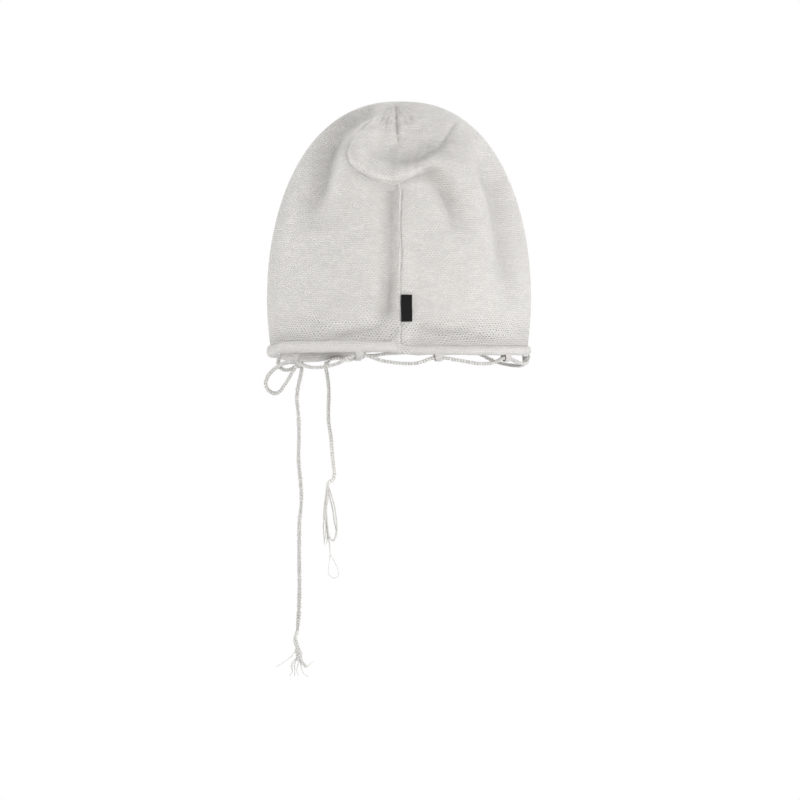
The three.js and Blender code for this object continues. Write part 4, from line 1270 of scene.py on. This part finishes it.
# How far round and how far up the plain wall each point is
def knitPlaces(plain):
    ring = np.concatenate([plain, plain[:, :1]], axis=1)
    stepAlong = np.linalg.norm(np.diff(ring, axis=1), axis=2)
    along = np.concatenate([np.zeros((len(plain), 1)), np.cumsum(stepAlong, axis=1)], axis=1)
    along -= along[:, plain.shape[1] // 2][:, None]
    stepUp = np.linalg.norm(np.diff(plain, axis=0), axis=2).mean(axis=1)
    return along, np.concatenate([[0], np.cumsum(stepUp)])


def addShell():
    t = np.arange(shell["columns"]) * 2 / shell["columns"] - 1
    a, b, c = shell["crowding"]
    turn, height = np.meshgrid(270 + 180 * (a * t + b * t ** 3 + c * t ** 5), shellHeights())
    plain = plainWall(turn, height)
    middle, paintedShade = foldedWall(plain, turn, height)
    outwards = wallNormals(middle)
    outwards[0, :, 2] = 0
    outwards[0] = unit(outwards[0])
    outer = middle + outwards * hat["wall"] / 2
    rows, columns = outer.shape[:2]
    coarse = shell["innerStep"]
    keptRows = sorted({*range(0, rows, shell["innerRowStep"]), rows - 1})
    inner = (middle - outwards * hat["wall"] / 2)[::, ::coarse][keptRows]
    points = gridPoints(outer) + gridPoints(inner)
    base = (rows - 1) * columns + 1
    along, up = knitPlaces(plain)
    faces, uvs = [], []
    for face, corners in gridFaces(rows, columns):
        faces.append(face)
        uvs += [(along[r, k] * mm, up[r] * mm) for r, k in corners]
    for face, corners in gridFaces(len(inner), inner.shape[1], base, inwards=True):
        faces.append(face)
        uvs += [(along[keptRows[r], k * coarse] * mm, up[keptRows[r]] * mm) for r, k in corners]
    for column in range(inner.shape[1]):
        edge = [(column * coarse + k) % columns for k in range(coarse + 1)]
        faces.append((base + column, base + (column + 1) % inner.shape[1], *reversed(edge)))
        uvs += [(along[0, column * coarse] * mm, 0)] * (coarse + 3)
    tuckHigh, tuckReach, tuckFade = shell["tuck"]
    tuck = np.exp(-((outer[..., 2] - tuckHigh) / tuckReach) ** 2)
    tuck *= smooth(-np.sin(np.radians(turn)) / tuckFade)
    level, more = shell["open"]
    patch, patchSize, patchSeed = shell["patches"]
    # The crease just above the hem takes painted shade
    creaseHigh, creaseReach = paintedFoldShade["creaseHigh"]
    crease = np.exp(-((outer[..., 2] - hemTop(turn) - creaseHigh) / creaseReach) ** 2)
    seen = slice((rows - 1) * columns)
    openness, shade = np.full(len(points), shell["plain"]), np.ones(len(points))
    openness[seen] = (level + more * tuck + patch * waves(outer, patchSize, patchSeed))[:-1].ravel()
    # Painted shade from the folds and the crease, with painted light where a fold lightens the knit
    shade[seen] = (1 - paintedFoldShade["fold"] * paintedShade - paintedFoldShade["crease"] * crease)[:-1].ravel()
    piece = makePiece("knit_shell", (points, faces, uvs), knitLook, openness, shade)
    finishPiece(piece, "knit", "knit_body")
    print(f"shell: {len(faces)} faces")
    return outer


outer = addShell()
print("shell is knitted")


# Outermost y of the back of the shell near (x, z), from its nearest points there
def backAt(x, z, count=6, soft=0.05):
    rows = outer[..., 1] < 0
    px, py, pz = (outer[..., k][rows] for k in range(3))
    near = np.hypot(px - x, pz - z)
    chosen = np.argpartition(near, count)[:count]
    weight = 1 / (near[chosen] + soft) ** 2
    return float((py[chosen] * weight).sum() / weight.sum())


seam = {
    "at": 0.3,                                  # its place across the back, and how far it wanders
    "wander": 0.35,
    "waves": ((6.3, 0, 1), (2.9, 1, 0.6)),      # of its wandering: length, phase and size
    "low": 8,
    "high": 138.5,
    "step": 1.0,
    "stitch": 1.9,
    "radius": 0.85,
    "lobe": (1.2, 1.05),                        # a lobe's length by the stitch and its width by the radius
    "sink": 0.15,                               # how far in from the knit's surface its middle lies
    "seed": 12,
}


# The linked seam up the back: a fine chain that stands a little proud
def addSeam():
    heights = np.arange(seam["low"], seam["high"], seam["step"])
    swing = sum(size * np.sin(heights / span + phase) for span, phase, size in seam["waves"])
    across = seam["at"] + seam["wander"] * swing
    path = [(x, backAt(x, z) + seam["sink"], z) for x, z in zip(across, heights)]
    host = makePath("seam_chain", path)
    long, wide = seam["lobe"]
    chain = dressed(host, cordTree, {
        "Stitch": seam["stitch"] * mm, "Lobe Length": long * seam["stitch"] * mm,
        "Radius": seam["radius"] * mm, "Lobe Width": wide * seam["radius"] * mm,
        "Seed": seam["seed"], "Material": seamLook})
    finishPiece(chain, "knit")


addSeam()
print("seam is linked")


# Rolled hem

hemPlan = {
    "columns": 360,
    "around": 28,
    "seam": 272.0,            # turn of the butted ends, and the closer columns beside it
    "seamSpan": 2.4,
    "seamColumns": 26,
    "notch": 1.0,             # depth and half width of the groove between the ends
    "notchWide": 0.45,
    "lumps": 0.22,            # height, size, stretch round the roll and seed of its lumps
    "lumpSize": 22,
    "lumpStretch": 12,
    "lumpSeed": 31,
    "upShare": 0.5,           # share of the lumps and the notch that also shows in its height
    "openness": 0.8,
    # painted shade: the roll is the wall's own knit, kept a little darker
    "shade": 0.97,
}


def addHem():
    seamTurn = hemPlan["seam"]
    first, last = seamTurn - hemPlan["seamSpan"], seamTurn + hemPlan["seamSpan"]
    even = np.arange(hemPlan["columns"]) * 360 / hemPlan["columns"]
    turns = np.sort(np.concatenate([even[(even < first) | (even > last)],
                                    np.linspace(first, last, hemPlan["seamColumns"])]))
    angles = np.arange(hemPlan["around"]) * 2 * math.pi / hemPlan["around"]
    turn, angle = np.meshgrid(turns, angles, indexing="ij")
    high = (hemTop(turn) - hemMiddle(turn) + hem["high"] / 2) / 2
    middle = hemMiddle(turn) - hem["high"] / 2 + high
    notch = hemPlan["notch"] * np.exp(-((turn - seamTurn) / hemPlan["notchWide"]) ** 2)
    x, y = planPoint(turn, hem["halfWidth"], hem["halfDepth"])
    rough = waves(np.stack([x, y, hemPlan["lumpStretch"] * angle], axis=-1), hemPlan["lumpSize"],
                  hemPlan["lumpSeed"]) * hemPlan["lumps"]
    out = (hem["thick"] / 2 - notch + rough) * signedPower(np.cos(angle), hem["roundOut"])
    x, y = planPoint(turn, hem["halfWidth"] + out, hem["halfDepth"] + out)
    share = hemPlan["upShare"]
    z = middle + (high - share * notch + share * rough) * signedPower(np.sin(angle), hem["roundUp"])
    points = np.stack([x, y, z], axis=-1)
    n, m = points.shape[:2]
    along = np.concatenate([[0], np.cumsum(np.linalg.norm(np.diff(points[:, 0], axis=0), axis=1))])
    along = np.append(along, along[-1] + np.linalg.norm(points[0, 0] - points[-1, 0]))
    girth = math.pi * (hem["thick"] + hem["high"]) / 2
    faces, uvs = [], []
    for i in range(n):
        for k in range(m):
            j, l = (i + 1) % n, (k + 1) % m
            faces.append((i * m + k, j * m + k, j * m + l, i * m + l))
            for p, q in ((i, k), (i + 1, k), (i + 1, k + 1), (i, k + 1)):
                uvs.append((along[p] * mm, q * girth / m * mm))
    roll = (points.reshape(-1, 3), faces, uvs)
    piece = makePiece("hem_roll", roll, hemLook, hemPlan["openness"], hemPlan["shade"])
    finishPiece(piece, "knit", "rolled_hem")


addHem()
print("hem is rolled")


# What is sewn on: carriers, keeper and tab

carrierPlan = {
    "halfWide": 3.9,
    "waist": 0.24,            # share that it narrows by under the cord
    "wavy": (0.05, 7),        # unevenness of its width: share and turns
    "thick": 0.5,
    "round": 2.5,             # radius of its bend round the cord
    "arc": 9,
    "leg": 2,
    "top": 4.2,               # where it goes into the hem: height above the cord, and half the gap there
    "in": 2.0,
    # painted shade: the straps are the hem's knit, darkened to sit in its tone
    "shade": 0.87,
}
keeperPlan = {
    "turn": 216.2,
    "lean": -2.6,
    "way": ((-3, 0), (1, 0.1), (4.1, 0.5), (8.2, 0.2)),        # drop below the rim and lean from the top down
    "halfWide": 3.7,
    "narrows": 0.86,
    "thick": 0.8,
}
strapStep = 0.7


# A strap that comes out of the hem, passes under the cord and goes back in
def addCarrier(number, turn):
    centre = rimPoint(turn, heldDrop, 0)
    side, outward = rimAxes(turn)
    r, leg, top, half = (carrierPlan[key] for key in ("round", "leg", "top", "in"))
    arc = [(r * math.cos(a), r * math.sin(a)) for a in np.linspace(0, -math.pi, carrierPlan["arc"])]
    section = [(half, top), (r, leg), *arc, (-r, leg), (-half, top)]
    path = throughPoints([centre + outward * out + np.array([0, 0, up]) for out, up in section], strapStep)
    uneven, turns = carrierPlan["wavy"]
    wide = 1 + uneven * np.sin(np.linspace(0, turns, len(path)) + number)
    wide -= carrierPlan["waist"] * np.sin(np.linspace(0, math.pi, len(path))) ** 2
    strap = sweep(path, carrierPlan["halfWide"] * wide, carrierPlan["thick"], side)
    piece = makePiece(f"carrier_strap_{number}", strap, hemLook, shade=carrierPlan["shade"])
    finishPiece(piece, "knit", f"cord_carrier_{number}")


# The strap at the left that the knot hangs from
def addKeeper():
    turn, lean = keeperPlan["turn"], keeperPlan["lean"]
    side = rimAxes(turn, lean)[0]
    path = throughPoints([rimPoint(turn, drop, lean + out) for drop, out in keeperPlan["way"]], strapStep)
    wide = keeperPlan["halfWide"] * np.linspace(1, keeperPlan["narrows"], len(path))
    strap = sweep(path, wide, keeperPlan["thick"], side)
    finishPiece(makePiece("keeper_strap", strap, hemLook), "knit", "knot_keeper")


# The seam allowance, folded down over the hem so that the knit runs on across the crease
bridge = {
    "across": (-6, 12, 46),         # left, right and columns
    "up": (0.2, 19, 34),            # low, high and rows
    "full": (-0.5, 8),              # left and right of where it stands its full way out
    "fade": 3.4,                    # and how far it fades beside and above that
    "topFade": 3,
    "lift": 0.5,
    "sink": 0.9,
    "groove": (1.5, 0.7, 0.7),      # place, half width and depth of the seam's groove
    "join": (15.5, 7.5),            # where it leaves the shell and where it lies on the hem
    "back": 2.2,
    "openness": 1.1,
    "shade": 0.98,
}


# Outermost y of the back of the hem at (x, z)
def hemFront(x, z):
    turn = 270 + math.degrees(math.asin(x / hem["halfWidth"]))
    low, high = float(hemMiddle(turn)) - hem["high"] / 2, float(hemTop(turn))
    level = np.clip((z - (low + high) / 2) / ((high - low) / 2), -1, 1)
    out = hem["thick"] / 2 * math.sqrt(max(0.0, 1 - abs(level) ** (2 / hem["roundUp"]))) ** hem["roundOut"]
    deep = hem["halfDepth"] + out
    return -deep * (1 - (abs(x) / (hem["halfWidth"] + out)) ** hat["roundness"]) ** (1 / hat["roundness"])


def addBridge():
    across, heights = np.linspace(*bridge["across"]), np.linspace(*bridge["up"])
    top, low = bridge["join"]
    left, right = bridge["full"]
    at, wide, deep = bridge["groove"]
    fade = bridge["fade"]
    grid = []
    for z in heights:
        for x in across:
            shellY, hemY = backAt(x, max(z, top)), hemFront(x, min(z, low))
            y = lerp(hemY, shellY, float(smooth((z - low) / (top - low))))
            beside = smooth((x - left) / fade + 1) * smooth((right - x) / fade + 1)
            inside = beside * smooth((heights[-1] - z) / bridge["topFade"])
            y -= lerp(-bridge["sink"], bridge["lift"], float(inside))
            grid.append((x, y + deep * math.exp(-((x - at) / wide) ** 2), z))
    behind = [(x, y + bridge["back"], z) for x, y, z in grid]
    places = [(x * mm, z * mm) for x, y, z in grid]
    sheet = thickSheet(grid, behind, len(heights), len(across), places)
    finishPiece(makePiece("seam_allowance", sheet, knitLook, bridge["openness"], bridge["shade"]), "knit")


for number, (turn, *_) in enumerate(spans, start=1):
    addCarrier(number, turn)
addKeeper()
addBridge()
print("straps are sewn to the hem")


tab = {
    "left": 1.8,
    "right": 10.5,
    "low": 26.6,
    "high": 48.4,
    "grid": (34, 18),             # rows, and columns of one ply
    "ply": 0.32,
    "apart": 0.2,
    "foldTurns": (0.8, 0, -0.8),
    "lift": 0.55,                 # how far it stands off the knit, and for how many plies and gaps
    "liftPlies": 3,
    "curl": 0.5,                  # how much further its folded edge stands off, and its middle
    "belly": 0.35,
    "ripple": (0.12, 9),          # small waves, each with its height and turns: of the belly, sideways, up
    "sway": (0.1, 5),
    "skew": (0.15, 4),
}


# The line of the folded ribbon from above: the front ply, the fold at the right and the ply behind
def tabLine(width, bend):
    columns = tab["grid"][1]
    front = [(tab["left"] + (width - bend) * (j / (columns - 1)), 0.0) for j in range(columns)]
    fold = [(tab["right"] - bend + bend * math.cos(a), -bend + bend * math.sin(a)) for a in tab["foldTurns"]]
    return [*front, *fold, *[(x, -2 * bend) for x, _ in reversed(front)]]


# A ribbon folded on its right edge, both ends caught in the seam
def addTab():
    rows = tab["grid"][0]
    heights = np.linspace(tab["low"], tab["high"], rows)
    width, bend = tab["right"] - tab["left"], (tab["ply"] + tab["apart"]) / 2
    line = tabLine(width, bend)
    ripple, rippleTurns = tab["ripple"]
    sway, swayTurns = tab["sway"]
    skew, skewTurns = tab["skew"]
    middle = []
    for i, z in enumerate(heights):
        up = i / (rows - 1)
        bow = tab["belly"] * math.sin(math.pi * up) + ripple * math.sin(rippleTurns * up)
        base = [backAt(x, z) for x in (tab["left"], (tab["left"] + tab["right"]) / 2, tab["right"])]
        for x, depth in line:
            share = (x - tab["left"]) / width
            level = min(lerp(base[0], base[2], share), lerp(base[0], base[1], min(1, 2 * share)))
            lifted = tab["lift"] + tab["liftPlies"] * bend + tab["curl"] * share ** 2
            lifted += bow * math.sin(math.pi * min(share, 1))
            middle.append((x + sway * math.sin(swayTurns * up + 1), level - lifted - depth,
                           z + skew * share * math.sin(skewTurns * up)))
    grid = np.array(middle).reshape(rows, len(line), 3)
    normal = unit(np.cross(np.gradient(grid, axis=1), np.gradient(grid, axis=0)))
    sides = [(grid + normal * half).reshape(-1, 3).tolist() for half in (tab["ply"] / 2, -tab["ply"] / 2)]
    passed = np.concatenate([[0], np.cumsum(np.hypot(*np.diff(np.array(line), axis=0).T))])
    places = [(along * mm, z * mm) for z in heights for along in passed]
    ribbon = thickSheet(*sides, rows, len(line), places)
    finishPiece(makePiece("folded_tab", ribbon, tabLook), "tab", "side_tab")


addTab()
print("tab is sewn in")


# Floor, its place and half size in metres

stage = {"floor": -1.5, "half": 6.0, "grain": 3.0, "tones": (0.88, 0.9)}


def addFloor():
    size, z = stage["half"] / mm, stage["floor"] / mm
    material = bpy.data.materials.new("floor_paper")
    material.use_nodes = True
    tree = material.node_tree
    place = addNode(tree, "ShaderNodeTexCoord").outputs["Object"]
    noise = addNode(tree, "ShaderNodeTexNoise", {"Vector": place, "Scale": stage["grain"]})
    tone = ranged(tree, noise.outputs[0], (0.0, 1.0), stage["tones"])
    tree.links.new(tone, tree.nodes["Principled BSDF"].inputs["Base Color"])
    floor = makeMesh("floor", [(-size, -size, z), (size, -size, z), (size, size, z), (-size, size, z)],
                     [(0, 1, 2, 3)], material)


addFloor()
print("floor is laid")
